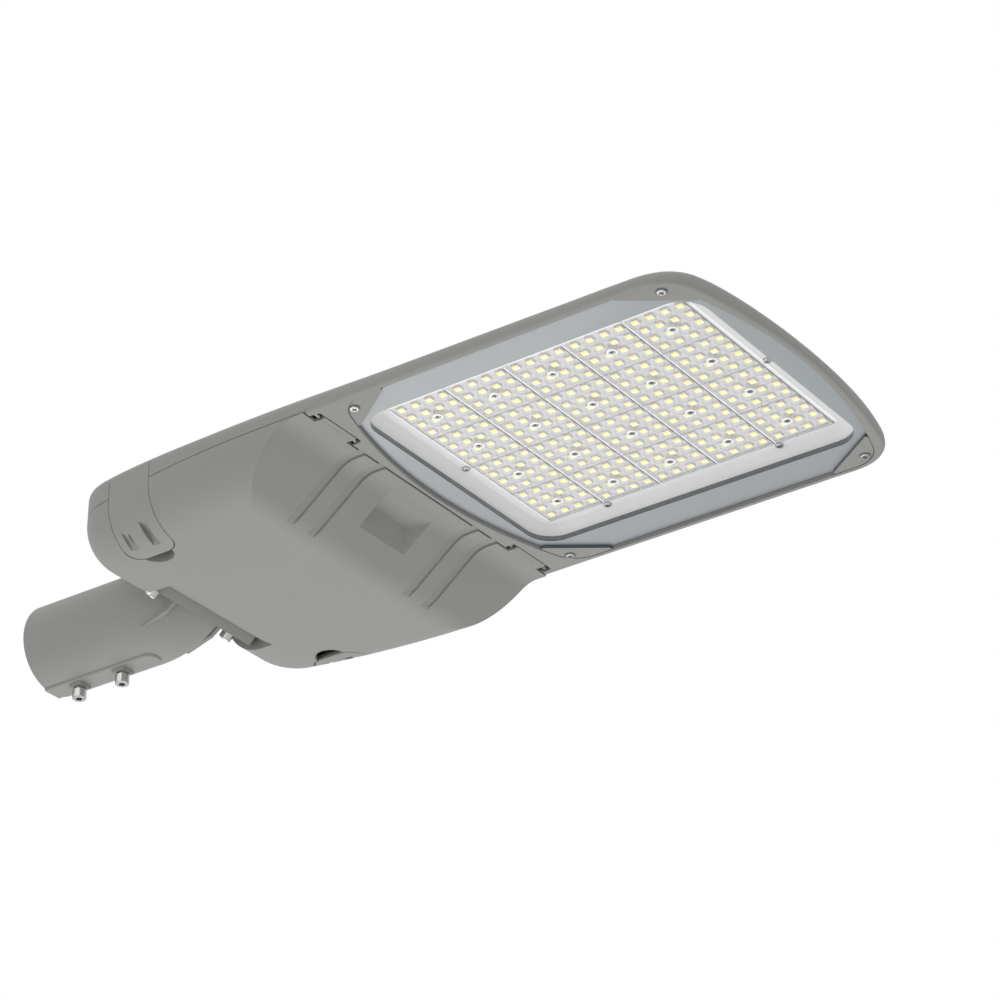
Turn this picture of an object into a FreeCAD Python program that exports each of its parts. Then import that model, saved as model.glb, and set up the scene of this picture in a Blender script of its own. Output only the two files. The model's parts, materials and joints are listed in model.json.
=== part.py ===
import FreeCAD, Part
import math
import os

V = FreeCAD.Vector

# Driving dimensions in millimetres. The origin is the centre of the socket mouth,
# +X runs to the front of the head and +Z is up.
HEAD_WIDTH = 300.0
REAR_X = 126.0            # rear wall of the head
GEAR_LENGTH = 243.5       # rear wall to the partition in front of the gear compartment
LAMP_LENGTH = 327.5       # partition to the front of the rim
END_R = 520.0             # bow of the front wall, in plan
FRONT_CORNER_R = 38.0
REAR_CORNER_R = 46.0
TAPER_R = 730.0           # side walls curve in towards the rear
TAPER_START = 193.0       # from the rear wall
SEAM_Z = 19.5             # underside of the upper casting at the gear compartment
RIM_DROP = 1.3            # rim of the lamp side below the seam
EDGE_Z = 25.4             # height at which the top meets the side wall before rounding
SECTION = ((-1, 0), (-0.78, 0.54), (-0.42, 0.87), (0, 1), (0.42, 0.87), (0.78, 0.54), (1, 0))
CROWN_H = 34.0            # crown of the top over the lamp
GEAR_CROWN_H = 45.0       # crown of the top over the gear
REAR_CROWN_H = 26.0
TOP_R = 10.0
RIM_R = 3.0
WALL = 4.0
DECK_T = 4.5              # plate that carries the boards
FIN_PITCH = 16.0
FIN_GAP = 10.5
FIN_COUNT = 13
FIN_LENGTH = 236.0

RECESS_HALF = 144.8       # recess that takes the glass
RECESS_END_R = 400.0
RECESS_CORNER_R = 26.0
RECESS_BACK = 2.5         # partition to the rear end of the recess, on the middle line
RECESS_FRONT = 5.0        # front of the recess to the front of the rim
GLASS_DEPTH = 3.3         # rim underside to the glass
GLASS_T = 4.2
GLASS_CLEAR = 0.5
GASKET_T = 2.0
SEAT_W = 4.5              # ledge that the glass gasket lies on

PITCH = 50.0              # lens modules
MODULE_COLS = 5
MODULE_ROWS = 4
MODULE_GAP = 0.5
LENS_PER_SIDE = 4
LENS_PITCH = 12.25
LENS_BASE_R = 5.3
LENS_TOP_R = 3.1
LENS_H = 3.4
LENS_SIDES = 6
LENS_PLATE_T = 2.0
BOARD_T = 1.6
LED_DEPTH = 11.5          # glass underside to the LED plane
MODULE_SCREW_R = 2.9
MODULE_SCREW_H = 1.6

TRAY_HALF_X = 132.8       # flat floor of the reflector tray
TRAY_HALF_Y = 108.0
TRAY_RISE = 6.7
TRAY_SPREAD = 7.8
TRAY_T = 1.0
TRAY_CORNER_R = 14.0
TRAY_SCREW_X = 75.2
TRAY_SCREW_R = 3.0

CLIP_T = 2.8
CLIP_ANGLE = 55.0         # inner edge of a clip, from the side wall's normal
CLIP_LINE = 172.5         # its distance from the middle of the lamp
CLIP_HOLD = 4.5           # how far a clip laps over the glass
CLIP_SCREW_X = 129.3
CLIP_SCREW_IN = 11.0      # from the side wall of the recess
CLIP_SCREW_R = 3.6
CLIP_SCREW_L = 9.5

COVER_DEPTH = 39.5        # seam to the flat bottom of the gear cover
COVER_WALL = 3.0
COVER_EDGE_R = 36.0
RAMP_ANGLE = 38.0
RAMP_TOP_R = 25.0
RAMP_FOOT_R = 30.0
SEAM_GAP = 0.5
SEAL_UP = 2.0             # depth of the groove for the compartment's gasket
LIP_W = 3.5
LIP_H = 4.0

HINGE_BACK = 3.0          # hinge axis in front of the partition face
HINGE_UP = 1.5            # hinge axis above the seam
PIN_R = 2.0
PIN_CLEAR = 0.05
TONGUE_IN = 99.8
TONGUE_OUT = 135.8
TONGUE_REACH = 4.8
TONGUE_GAP = 0.5
HINGE_POCKET_R = 6.2
NOTCH_IN = 94.0           # open notches at both ends of a hinge tongue
NOTCH_OUT = 143.6
NOTCH_REACH = 5.4
NOTCH_R = 2.4
PIN_IN = 90.5
PIN_OUT = 146.1

GROOVE_W = 8.0
GROOVE_DEPTH = 1.6
GROOVE_REACH = 90.0
GROOVE_Y = (57.5, 81.5)

PULL_HALF = 27.0          # finger recess in the ramp, half its width on the ramp
PULL_DRAFT = 0.75
PULL_TOP = (20.3, 4.3)    # its upper end, inner corner and foot, back and down from the hinge
PULL_CORNER = (40.5, 6.3)
PULL_FOOT = (48.7, 24.5)
PULL_R = 2.5

LATCH_REAR = 47.5         # rear wall to the rear edge of a latch
LATCH_W = 45.0
LATCH_T = 2.0
LATCH_GAP = 0.5
LATCH_TIP_IN = 37.0       # side wall to the tip, measured inwards
LATCH_TIP_R = 14.0
LATCH_TOP_IN = 11.0
LATCH_PIVOT_IN = 12.5
LATCH_PIVOT_UP = 16.5     # pivot above the flat bottom
LATCH_PIN_R = 1.5
LATCH_PIN_HALF = 20.5
EAR_T = 3.8
DENT_X = (-12.0, 8.4)     # finger dents in a latch, from its middle
DENT_W = 7.0
DENT_R = 24.0
DENT_DEPTH = 4.0
DENT_ANGLE = 57.5         # below the horizontal, about the centre of the rounded edge
DENT_PAD = 6.0            # thickness of the latch round the dents
SCOOP_R = 13.0
SCOOP_TOP_R = 10.5
SCOOP_DEPTH = 12.0
LATCH_SWING = 18.0
WELL_LEAN = 0.62
HOOK_DROP = 2.5           # play under the hook, which dips as it swings out
HOOK_REACH = 7.0
HOOK_T = 3.0

TUBE_R = 37.0
SOCKET_R = 31.0
SOCKET_DEPTH = 88.0
PASSAGE_R = 20.0
FLANGE_X = 127.0          # centre of the outer face of the flange
FLANGE_Z = 9.4
FLANGE_T = 9.0
FLANGE_HALF_H = 40.0
FLANGE_HALF_W = 56.7
FLANGE_SEAL = 1.0
FLANGE_BOLT_Y = 43.8
FLANGE_BOLT_H = 21.5
BOLT_R = 3.0
BOLT_HEAD_R = 5.2
BOLT_HEAD_H = 6.0
WASHER_R = 6.2
WASHER_T = 1.6
RIB_HALF = 9.0
RIB_Z = 38.0
RIB_END = 109.0
RIB_R = 1.5
CLAMP_X = (29.0, 73.0)
CLAMP_PAD = 12.0
CLAMP_PAD_T = 2.4
CLAMP_HEAD_R = 5.5
CLAMP_HEAD_H = 7.3
CLAMP_BOLT_R = 4.0

DRIVER_L = 190.0
DRIVER_W = 62.0
DRIVER_H = 34.0
DRIVER_X = 268.0
GEAR_TRAY_T = 2.0
GEAR_TRAY_UP = 10.5       # tray above the seam
GEAR_TRAY_X = (186.0, 336.0)
GEAR_TRAY_HALF = 100.0
SURGE_X = 205.0
SURGE_Y = 52.0
SURGE_R = 14.0
SURGE_L = 44.0
BLOCK_X = 205.0
BLOCK_Y = -48.0
BLOCK_POLES = 5
BLOCK_PITCH = 11.0
BLOCK_W = 18.0
BLOCK_H = 16.0
CLAMP_Y = 0.0
GROMMET_R = 11.0

# Derived places
PART_X = REAR_X + GEAR_LENGTH
FRONT_X = PART_X + LAMP_LENGTH
HALF = HEAD_WIDTH / 2
RIM_Z = SEAM_Z - RIM_DROP
GLASS_Z = RIM_Z + GLASS_DEPTH
SEAT_Z = GLASS_Z + GLASS_T + GASKET_T
LED_Z = GLASS_Z + LED_DEPTH
BOARD_Z = LED_Z + 0.5
DECK_Z = BOARD_Z + BOARD_T
RECESS_X0 = PART_X + RECESS_BACK
RECESS_X1 = FRONT_X - RECESS_FRONT
LED_X = (RECESS_X0 + RECESS_X1) / 2 - 1.0
BOTTOM_Z = SEAM_Z - COVER_DEPTH
COVER_TOP = SEAM_Z - SEAM_GAP
GEAR_Z = SEAM_Z + GEAR_TRAY_UP
HINGE_X = PART_X + HINGE_BACK
HINGE_Z = SEAM_Z + HINGE_UP
LATCH_X0 = REAR_X + LATCH_REAR
LATCH_X1 = LATCH_X0 + LATCH_W
CLIP_NX = math.cos(math.radians(CLIP_ANGLE))
CLIP_NY = math.sin(math.radians(CLIP_ANGLE))
S45 = math.sqrt(0.5)


def line(a, b):
    return Part.LineSegment(a, b).toShape()


def arc(a, m, b):
    return Part.Arc(a, m, b).toShape()


def corner(centre, r, d1, d2, z):
    """Arc about centre from direction d1 to direction d2, the short way."""
    mx = d1[0] + d2[0]
    my = d1[1] + d2[1]
    k = math.hypot(mx, my)
    pts = [V(centre[0] + r * d[0], centre[1] + r * d[1], z) for d in (d1, (mx / k, my / k), d2)]
    return pts


def unit(a, b):
    k = math.hypot(b[0] - a[0], b[1] - a[1])
    return ((b[0] - a[0]) / k, (b[1] - a[1]) / k)


def closed(arcs):
    """Wire through three-point arcs in order, with straight lines between them."""
    edges = []
    for i, pts in enumerate(arcs):
        edges.append(arc(*pts))
        nxt = arcs[(i + 1) % len(arcs)][0]
        if (nxt - pts[2]).Length > 1e-6:
            edges.append(line(pts[2], nxt))
    return Part.Wire(edges)


def prism(wire, h):
    return Part.Face(wire).extrude(V(0, 0, h))


def flip(p):
    return (p[0], -p[1])


def head_wire(z, inset=0.0):
    """Plan outline of the head, moved inwards by inset."""
    e = (FRONT_X - END_R, 0.0)
    fy = HALF - FRONT_CORNER_R
    fx = e[0] + math.sqrt((END_R - FRONT_CORNER_R) ** 2 - fy ** 2)
    t = (REAR_X + TAPER_START, HALF - TAPER_R)
    rx = REAR_X + REAR_CORNER_R
    ry = t[1] + math.sqrt((TAPER_R - REAR_CORNER_R) ** 2 - (rx - t[0]) ** 2)
    fdir = unit(e, (fx, fy))
    tdir = unit(t, (rx, ry))
    up = (0.0, 1.0)
    dn = (0.0, -1.0)
    back = (-1.0, 0.0)
    fr = FRONT_CORNER_R - inset
    rr = REAR_CORNER_R - inset
    arcs = [corner((fx, -fy), fr, dn, flip(fdir), z),
            corner(e, END_R - inset, flip(fdir), fdir, z),
            corner((fx, fy), fr, fdir, up, z),
            corner(t, TAPER_R - inset, up, tdir, z),
            corner((rx, ry), rr, tdir, back, z),
            corner((rx, -ry), rr, back, flip(tdir), z),
            corner((t[0], -t[1]), TAPER_R - inset, flip(tdir), dn, z)]
    return closed(arcs)


def recess_wire(z, inset=0.0):
    """Outline of the glass recess, bowed at both ends, moved inwards by inset."""
    e1 = RECESS_X1 - RECESS_END_R
    e0 = RECESS_X0 + RECESS_END_R
    cy = RECESS_HALF - RECESS_CORNER_R
    run = math.sqrt((RECESS_END_R - RECESS_CORNER_R) ** 2 - cy ** 2)
    c1 = (e1 + run, cy)
    c0 = (e0 - run, cy)
    d1 = unit((e1, 0), c1)
    d0 = unit((e0, 0), c0)
    r = RECESS_CORNER_R - inset
    big = RECESS_END_R - inset
    arcs = [corner(flip(c1), r, (0, -1), flip(d1), z),
            corner((e1, 0), big, flip(d1), d1, z),
            corner(c1, r, d1, (0, 1), z),
            corner(c0, r, (0, 1), d0, z),
            corner((e0, 0), big, d0, flip(d0), z),
            corner(flip(c0), r, flip(d0), (0, -1), z)]
    return closed(arcs)


def corner_side(x, y):
    """How far a point lies out towards a corner of the recess, square to the clips' edge."""
    return abs(x - LED_X) * CLIP_NX + abs(y) * CLIP_NY


def cut_corners(shape, limit, z0, z1):
    """Keep what lies inside the four slanting lines at the clip corners."""
    big = 400.0
    for sx in (-1, 1):
        for sy in (-1, 1):
            px = LED_X + sx * limit * CLIP_NX
            py = sy * limit * CLIP_NY
            tx = -CLIP_NY * sx
            ty = CLIP_NX * sy
            a = V(px + big * tx, py + big * ty, z0)
            b = V(px - big * tx, py - big * ty, z0)
            n = V(sx * CLIP_NX * big, sy * CLIP_NY * big, 0)
            wedge = Part.Face(Part.makePolygon([a, b, b + n, a + n, a])).extrude(V(0, 0, z1 - z0))
            shape = shape.cut(wedge)
    return shape


def rect_wire(cx, cy, hx, hy, r, z):
    x = hx - r
    y = hy - r
    arcs = [corner((cx + x, cy - y), r, (0, -1), (1, 0), z),
            corner((cx + x, cy + y), r, (1, 0), (0, 1), z),
            corner((cx - x, cy + y), r, (0, 1), (-1, 0), z),
            corner((cx - x, cy - y), r, (-1, 0), (0, -1), z)]
    return closed(arcs)


def box(x0, x1, y0, y1, z0, z1):
    return Part.makeBox(x1 - x0, y1 - y0, z1 - z0, V(x0, y0, z0))


def rod(p, d, r, length):
    return Part.makeCylinder(r, length, V(*p), V(*d))


def slab(points, y0, y1):
    """Polygon in the XZ plane extruded along Y."""
    pts = [V(x, y0, z) for x, z in points]
    wire = Part.makePolygon(pts + [pts[0]])
    return Part.Face(wire).extrude(V(0, y1 - y0, 0))


def save(name, shape):
    shape.exportStep("parts/" + name + ".step")
    print(name, len(shape.Solids), round(shape.Volume / 1000.0, 2), shape.isValid())


def top_form(drop):
    """Everything under the crowned top, which is lowered by drop."""
    mid = 0.5 * (CROWN_H + GEAR_CROWN_H)
    stations = [(REAR_X - 6.0, EDGE_Z, REAR_CROWN_H - 2.0),
                (REAR_X + 60.0, EDGE_Z + 1.0, 0.5 * (REAR_CROWN_H + GEAR_CROWN_H) + 2.0),
                (REAR_X + 150.0, EDGE_Z + 1.4, GEAR_CROWN_H - 1.0),
                (PART_X - 40.0, EDGE_Z + 1.4, GEAR_CROWN_H),
                (PART_X + 60.0, EDGE_Z + 0.3, mid + 1.0),
                (LED_X, EDGE_Z, CROWN_H),
                (LED_X + 70.0, EDGE_Z, 0.85 * CROWN_H),
                (FRONT_X - 34.0, EDGE_Z, 0.58 * CROWN_H),
                (FRONT_X - 10.0, EDGE_Z, 0.24 * CROWN_H),
                (FRONT_X + 4.0, EDGE_Z, 0.02 * CROWN_H)]
    wires = []
    h = HALF + 2.0
    for x, edge, rise in stations:
        z = edge - drop
        crown = [V(x, f * h, z + k * rise) for f, k in SECTION]
        spline = Part.BSplineCurve()
        spline.interpolate(crown)
        b = crown[-1]
        a = crown[0]
        c = V(x, h, BOTTOM_Z - 40)
        d = V(x, -h, BOTTOM_Z - 40)
        wires.append(Part.Wire([spline.toShape(), line(b, c), line(c, d), line(d, a)]))
    return Part.makeLoft(wires, True, False)


def cover_profile(inset=0.0):
    """Side view of the gear cover: front lip, S-shaped ramp and flat bottom."""
    x0 = HINGE_X - 4.5
    z0 = HINGE_Z - 3.0 + inset
    zb = BOTTOM_Z + inset
    ang = math.radians(RAMP_ANGLE)
    r1 = RAMP_TOP_R - inset
    r2 = RAMP_FOOT_R + inset
    sn = math.sin(ang)
    cs = math.cos(ang)
    hx = math.sin(ang / 2)
    hc = math.cos(ang / 2)
    a = (x0 - 8.0 - 0.35 * inset, z0)
    c1 = (a[0], a[1] - r1)
    m1 = (c1[0] - r1 * hx, c1[1] + r1 * hc)
    b = (c1[0] - r1 * sn, c1[1] + r1 * cs)
    drop = b[1] - zb - r2 * (1.0 - cs)
    c = (b[0] - drop * cs / sn, b[1] - drop)
    c2 = (c[0] - r2 * sn, c[1] + r2 * cs)
    m2 = (c2[0] + r2 * hx, c2[1] - r2 * hc)
    d = (c2[0], zb)
    return x0, z0, a, m1, b, c, m2, d, zb


def ramp_solid(inset, top, x_front, y0, y1):
    """Solid above the cover's underside profile, moved inwards by inset."""
    x0, z0, a, m1, b, c, m2, d, zb = cover_profile(inset)

    def p(q):
        return V(q[0], y0, q[1])

    rear = REAR_X - 10.0
    edges = [line(p((x_front, z0)), p(a)),
             arc(p(a), p(m1), p(b)),
             line(p(b), p(c)),
             arc(p(c), p(m2), p(d)),
             line(p(d), p((rear, zb))),
             line(p((rear, zb)), p((rear, top))),
             line(p((rear, top)), p((x_front, top))),
             line(p((x_front, top)), p((x_front, z0)))]
    return Part.Face(Part.Wire(edges)).extrude(V(0, y1 - y0, 0))


def bath(inset, top):
    """Round-edged tub that the gear cover is cut from."""
    zb = BOTTOM_Z + inset
    tub = prism(head_wire(zb, inset), top - zb)
    tub = tub.common(box(REAR_X - 10, PART_X + 40, -HALF - 5, HALF + 5, zb - 1, top + 1))
    low = [e for e in tub.Edges if e.BoundBox.ZMax < zb + 0.01 and e.BoundBox.XMin < PART_X + 30]
    return tub.makeFillet(COVER_EDGE_R - inset, low)


def cover_form(inset, top, x_front):
    tub = bath(inset, top)
    return tub.common(ramp_solid(inset, top + 40.0, x_front, -HALF - 5, HALF + 5))


def pad_polygon(normal, tip_x, back):
    """Side view of the 45 degree pad that the spigot bolts to; normal moves its face."""
    s = FLANGE_X + FLANGE_Z + (FLANGE_T + FLANGE_SEAL + normal) / S45
    e = s + back
    top = FLANGE_Z + (FLANGE_HALF_H + 6.0) * S45 + 6.0
    x0 = s - top
    return [(x0, top), (tip_x, s - tip_x), (tip_x, e - tip_x), (REAR_X + 3.0, e - REAR_X - 3.0),
            (REAR_X + 3.0, top + 8.0), (x0, top + 6.0)]


def housing():
    body = prism(head_wire(RIM_Z), 80.0).common(top_form(0.0))
    top_edges = []
    for e in body.Edges:
        bb = e.BoundBox
        if bb.ZMin > EDGE_Z - 6.0 and bb.ZMax - bb.ZMin < 12.0:
            top_edges.append(e)
    body = body.makeFillet(TOP_R, top_edges)
    pad = slab(pad_polygon(0.0, FLANGE_X + 34.0, 17.0), -FLANGE_HALF_W, FLANGE_HALF_W)
    gear = body.common(box(REAR_X - 5, PART_X, -HALF - 5, HALF + 5, SEAM_Z, 120.0))
    lamp = body.common(box(PART_X, FRONT_X + 5, -HALF - 5, HALF + 5, RIM_Z - 1, 120.0))
    rim = [e for e in lamp.Edges if e.BoundBox.ZMax < RIM_Z + 0.05 and e.BoundBox.XMax > PART_X + 20]
    lamp = lamp.makeFillet(RIM_R, rim)
    body = gear.fuse(lamp)
    inside = prism(head_wire(SEAM_Z - 1, WALL), 80.0).common(top_form(WALL))
    inside = inside.common(box(REAR_X, PART_X, -HALF, HALF, SEAM_Z - 2, 100))
    body = body.cut(inside)
    lip = prism(head_wire(SEAM_Z, WALL - 1), LIP_H)
    lip = lip.cut(prism(head_wire(SEAM_Z - 1, WALL + LIP_W), LIP_H + 2))
    lip = lip.common(box(REAR_X, PART_X, -HALF, HALF, SEAM_Z - 1, SEAM_Z + LIP_H))
    body = body.fuse(lip)
    body = body.fuse(pad)
    # Nothing of the rear wall reaches past the face that the flange seals on
    s = FLANGE_X + FLANGE_Z + (FLANGE_T + FLANGE_SEAL) / S45
    under = [(REAR_X - 10.0, s - REAR_X + 10.0), (s - BOTTOM_Z, BOTTOM_Z), (REAR_X - 60.0, BOTTOM_Z)]
    body = body.cut(slab(under, -FLANGE_HALF_W - 3.3, FLANGE_HALF_W + 3.3))
    body = body.cut(gasket_ring(0.0, SEAM_Z - 1, SEAM_Z + SEAL_UP))
    # Lamp side: recess for the glass, seat and board space
    body = body.cut(prism(recess_wire(RIM_Z - 1), GLASS_Z - RIM_Z + 1))
    seat = prism(recess_wire(GLASS_Z - 1), SEAT_Z - GLASS_Z + 1)
    body = body.cut(cut_corners(seat, CLIP_LINE + CLIP_HOLD + 0.5, GLASS_Z, SEAT_Z + 1))
    space = prism(recess_wire(SEAT_Z - 1, SEAT_W), DECK_Z - SEAT_Z + 1)
    space = cut_corners(space, CLIP_LINE, GLASS_Z, DECK_Z + 1)
    body = body.cut(space.common(top_form(WALL - 1.0)))
    for i, j, x, y in module_centres():
        body = body.cut(rod((x, y, BOARD_Z), (0, 0, 1), 1.5, BOARD_T + 3.5))
    for x, y in tray_points():
        body = body.cut(rod((x, y, BOARD_Z), (0, 0, 1), 1.5, BOARD_T + 3.5))
    # Cooling fins: slots cut down to the deck
    floor_z = DECK_Z + DECK_T
    for i in range(FIN_COUNT):
        y = (i - (FIN_COUNT - 1) / 2.0) * FIN_PITCH
        slot = prism(rect_wire(LED_X, y, FIN_LENGTH / 2, FIN_GAP / 2, FIN_GAP / 2 - 0.2, floor_z), 60.0)
        body = body.cut(slot)
    # Hinge pockets and pin bores
    for s in (-1, 1):
        y0 = TONGUE_IN - TONGUE_GAP
        y1 = TONGUE_OUT + TONGUE_GAP
        pocket = rod((HINGE_X, s * y0, HINGE_Z), (0, s, 0), HINGE_POCKET_R, y1 - y0)
        ya, yb = sorted((s * y0, s * y1))
        pocket = pocket.fuse(box(PART_X - 3, HINGE_X, ya, yb, RIM_Z - 1, HINGE_Z + HINGE_POCKET_R))
        body = body.cut(pocket)
        notch = prism(rect_wire(PART_X, s * (NOTCH_IN + NOTCH_OUT) / 2, HINGE_X + NOTCH_REACH - PART_X,
                                (NOTCH_OUT - NOTCH_IN) / 2, NOTCH_R, RIM_Z - 1), HINGE_Z + 5.0 - RIM_Z)
        notch = notch.cut(box(PART_X - 20, HINGE_X + 20, ya, yb, RIM_Z - 2, HINGE_Z + 20))
        body = body.cut(notch.common(box(PART_X - 0.5, HINGE_X + 20, -HALF, HALF, RIM_Z - 2, HINGE_Z + 20)))
        bore = rod((HINGE_X, s * (PIN_IN - 0.3), HINGE_Z), (0, s, 0), PIN_R + PIN_CLEAR, PIN_OUT - PIN_IN + 0.6)
        body = body.cut(bore)
    # Screw holes
    for x, y in clip_points():
        body = body.cut(rod((x, y, GLASS_Z - 1), (0, 0, 1), 2.0, CLIP_SCREW_L - CLIP_T + 1.5))
    # Cable passage and bolt threads in the pad
    n = (S45, 0, S45)
    body = body.cut(rod((FLANGE_X, 0, FLANGE_Z), n, PASSAGE_R, FLANGE_T + FLANGE_SEAL + 18.0))
    for x, y, z in flange_points():
        body = body.cut(rod((x, y, z), n, BOLT_R, FLANGE_T + FLANGE_SEAL + 11.0))
    for x, y in tray_bosses():
        boss = rod((x, y, GEAR_Z + GEAR_TRAY_T), (0, 0, 1), 6.0, 60.0).common(top_form(1.0))
        body = body.fuse(boss).cut(rod((x, y, GEAR_Z), (0, 0, 1), 2.0, GEAR_TRAY_T + 8.0))
    # Recesses for the latch straps and windows for their hooks
    for s in (-1, 1):
        body = body.cut(latch_space(s))
    return body


def gasket_ring(inset, z0, z1):
    ring = prism(head_wire(z0, WALL + 0.8 + inset), z1 - z0)
    ring = ring.cut(prism(head_wire(z0 - 1, WALL + 2.6 - inset), z1 - z0 + 2))
    keep = box(REAR_X, PART_X - 6, -HALF, HALF, z0, z1)
    keep = keep.cut(box(REAR_X - 1, REAR_X + 30, -FLANGE_HALF_W - 6, FLANGE_HALF_W + 6, z0 - 1, z1 + 1))
    return ring.common(keep)


def flange_points():
    pts = []
    for sy in (-1, 1):
        for sh in (-1, 1):
            x = FLANGE_X + sh * FLANGE_BOLT_H * S45
            z = FLANGE_Z - sh * FLANGE_BOLT_H * S45
            pts.append((x, sy * FLANGE_BOLT_Y, z))
    return pts


def clip_points():
    cy = RECESS_HALF - CLIP_SCREW_IN
    pts = []
    for sx in (-1, 1):
        for sy in (-1, 1):
            pts.append((LED_X + sx * CLIP_SCREW_X, sy * cy))
    return pts


def side_at(x):
    """Half-width of the head at x behind the start of the taper."""
    t = REAR_X + TAPER_START
    if x >= t:
        return HALF
    return HALF - TAPER_R + math.sqrt(TAPER_R ** 2 - (t - x) ** 2)


LATCH_SIDE = side_at(LATCH_X0 + LATCH_W / 2)
PIVOT_Y = LATCH_SIDE - LATCH_PIVOT_IN
PIVOT_Z = BOTTOM_Z + LATCH_PIVOT_UP
HOOK_Z = SEAM_Z + 4.5


def latch_plan(grow, tip_grow, z0, z1):
    """Plan prism of one latch on the +Y side: straight sides and a round tip."""
    cx = LATCH_X0 + LATCH_W / 2
    y_in = LATCH_SIDE - LATCH_TIP_IN - tip_grow
    y_out = HALF + 10.0
    r = LATCH_TIP_R + grow
    return prism(rect_wire(cx, (y_in + y_out) / 2, LATCH_W / 2 + grow, (y_out - y_in) / 2, r, z0), z1 - z0)


def skin(depth):
    """Outer form of cover and casting round one latch, moved inwards by depth."""
    region = box(LATCH_X0 - 8, LATCH_X1 + 8, 40, HALF + 10, BOTTOM_Z + depth, SEAM_Z + 70)
    form = prism(head_wire(BOTTOM_Z + depth, depth), 120.0).common(region)
    low = [e for e in form.Edges if e.BoundBox.ZMax < BOTTOM_Z + depth + 0.01 and e.BoundBox.YMin > 100]
    form = form.makeFillet(COVER_EDGE_R - depth, low)
    form = form.common(top_form(depth))
    high = [e for e in form.Edges if e.BoundBox.ZMin > SEAM_Z + 1.0 and e.BoundBox.YMin > 100
            and e.BoundBox.XLength > LATCH_W]
    return form.makeFillet(TOP_R - depth, high)


def mirror_y(shape, s):
    if s > 0:
        return shape
    return shape.mirror(V(0, 0, 0), V(0, 1, 0))


SKINS = {}


def skin_at(depth):
    if depth not in SKINS:
        SKINS[depth] = skin(depth)
    return SKINS[depth]


def latch_space(s):
    """Space in casting and cover that one latch strap lies in, with its hook window."""
    top = EDGE_Z + 8.0
    strap = latch_plan(LATCH_GAP, LATCH_GAP, BOTTOM_Z - 5, top)
    strap = strap.cut(box(0, FRONT_X, 0, LATCH_SIDE - LATCH_TOP_IN - LATCH_GAP, SEAM_Z, 100))
    strap = strap.cut(skin_at(LATCH_T + LATCH_GAP))
    hook = box(LATCH_X0 + 8, LATCH_X1 - 8, LATCH_SIDE - LATCH_T - HOOK_REACH - 2.0, LATCH_SIDE,
               HOOK_Z - HOOK_DROP, HOOK_Z + HOOK_T + 1.5)
    return mirror_y(strap.fuse(hook), s)


def scoop(grow):
    """Finger hollow in the underside beside the tip of a latch, on the +Y side."""
    cx = LATCH_X0 + LATCH_W / 2
    cy = LATCH_SIDE - LATCH_TIP_IN + SCOOP_R - 11.4
    rise = SCOOP_DEPTH + grow + 2.0
    slope = (SCOOP_R - SCOOP_TOP_R) / SCOOP_DEPTH
    return Part.makeCone(SCOOP_R + grow + 2.0 * slope, SCOOP_R + grow + (2.0 - rise) * slope, rise,
                         V(cx, cy, BOTTOM_Z - 2.0), V(0, 0, 1))


def latch_well(grow):
    """Room for the lower half of a latch to swing in, on the +Y side."""
    tip = LATCH_SIDE - LATCH_TIP_IN
    reach = LATCH_TIP_IN - LATCH_PIVOT_IN
    depth = reach * math.sin(math.radians(LATCH_SWING)) + 4.5
    top = PIVOT_Z + 4.0 + grow
    # The tip also moves towards the middle as it swings, so the well leans that way
    cx = LATCH_X0 + LATCH_W / 2
    wires = []
    for z in (BOTTOM_Z - 2.0, top):
        y_in = tip - LATCH_GAP - grow - WELL_LEAN * (z - BOTTOM_Z)
        y_out = HALF + 10.0
        wires.append(rect_wire(cx, (y_in + y_out) / 2, LATCH_W / 2 + LATCH_GAP + grow, (y_out - y_in) / 2,
                               LATCH_TIP_R + grow, z))
    plan = Part.makeLoft(wires, True, True)
    side = [V(0, tip - 25, BOTTOM_Z - 5), V(0, tip - 25, BOTTOM_Z + depth + grow),
            V(0, PIVOT_Y - 2, top), V(0, PIVOT_Y + 9.0, top),
            V(0, PIVOT_Y + 9.0, BOTTOM_Z - 5)]
    swept = Part.Face(Part.makePolygon(side + [side[0]])).extrude(V(FRONT_X, 0, 0))
    return plan.common(swept)


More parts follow.
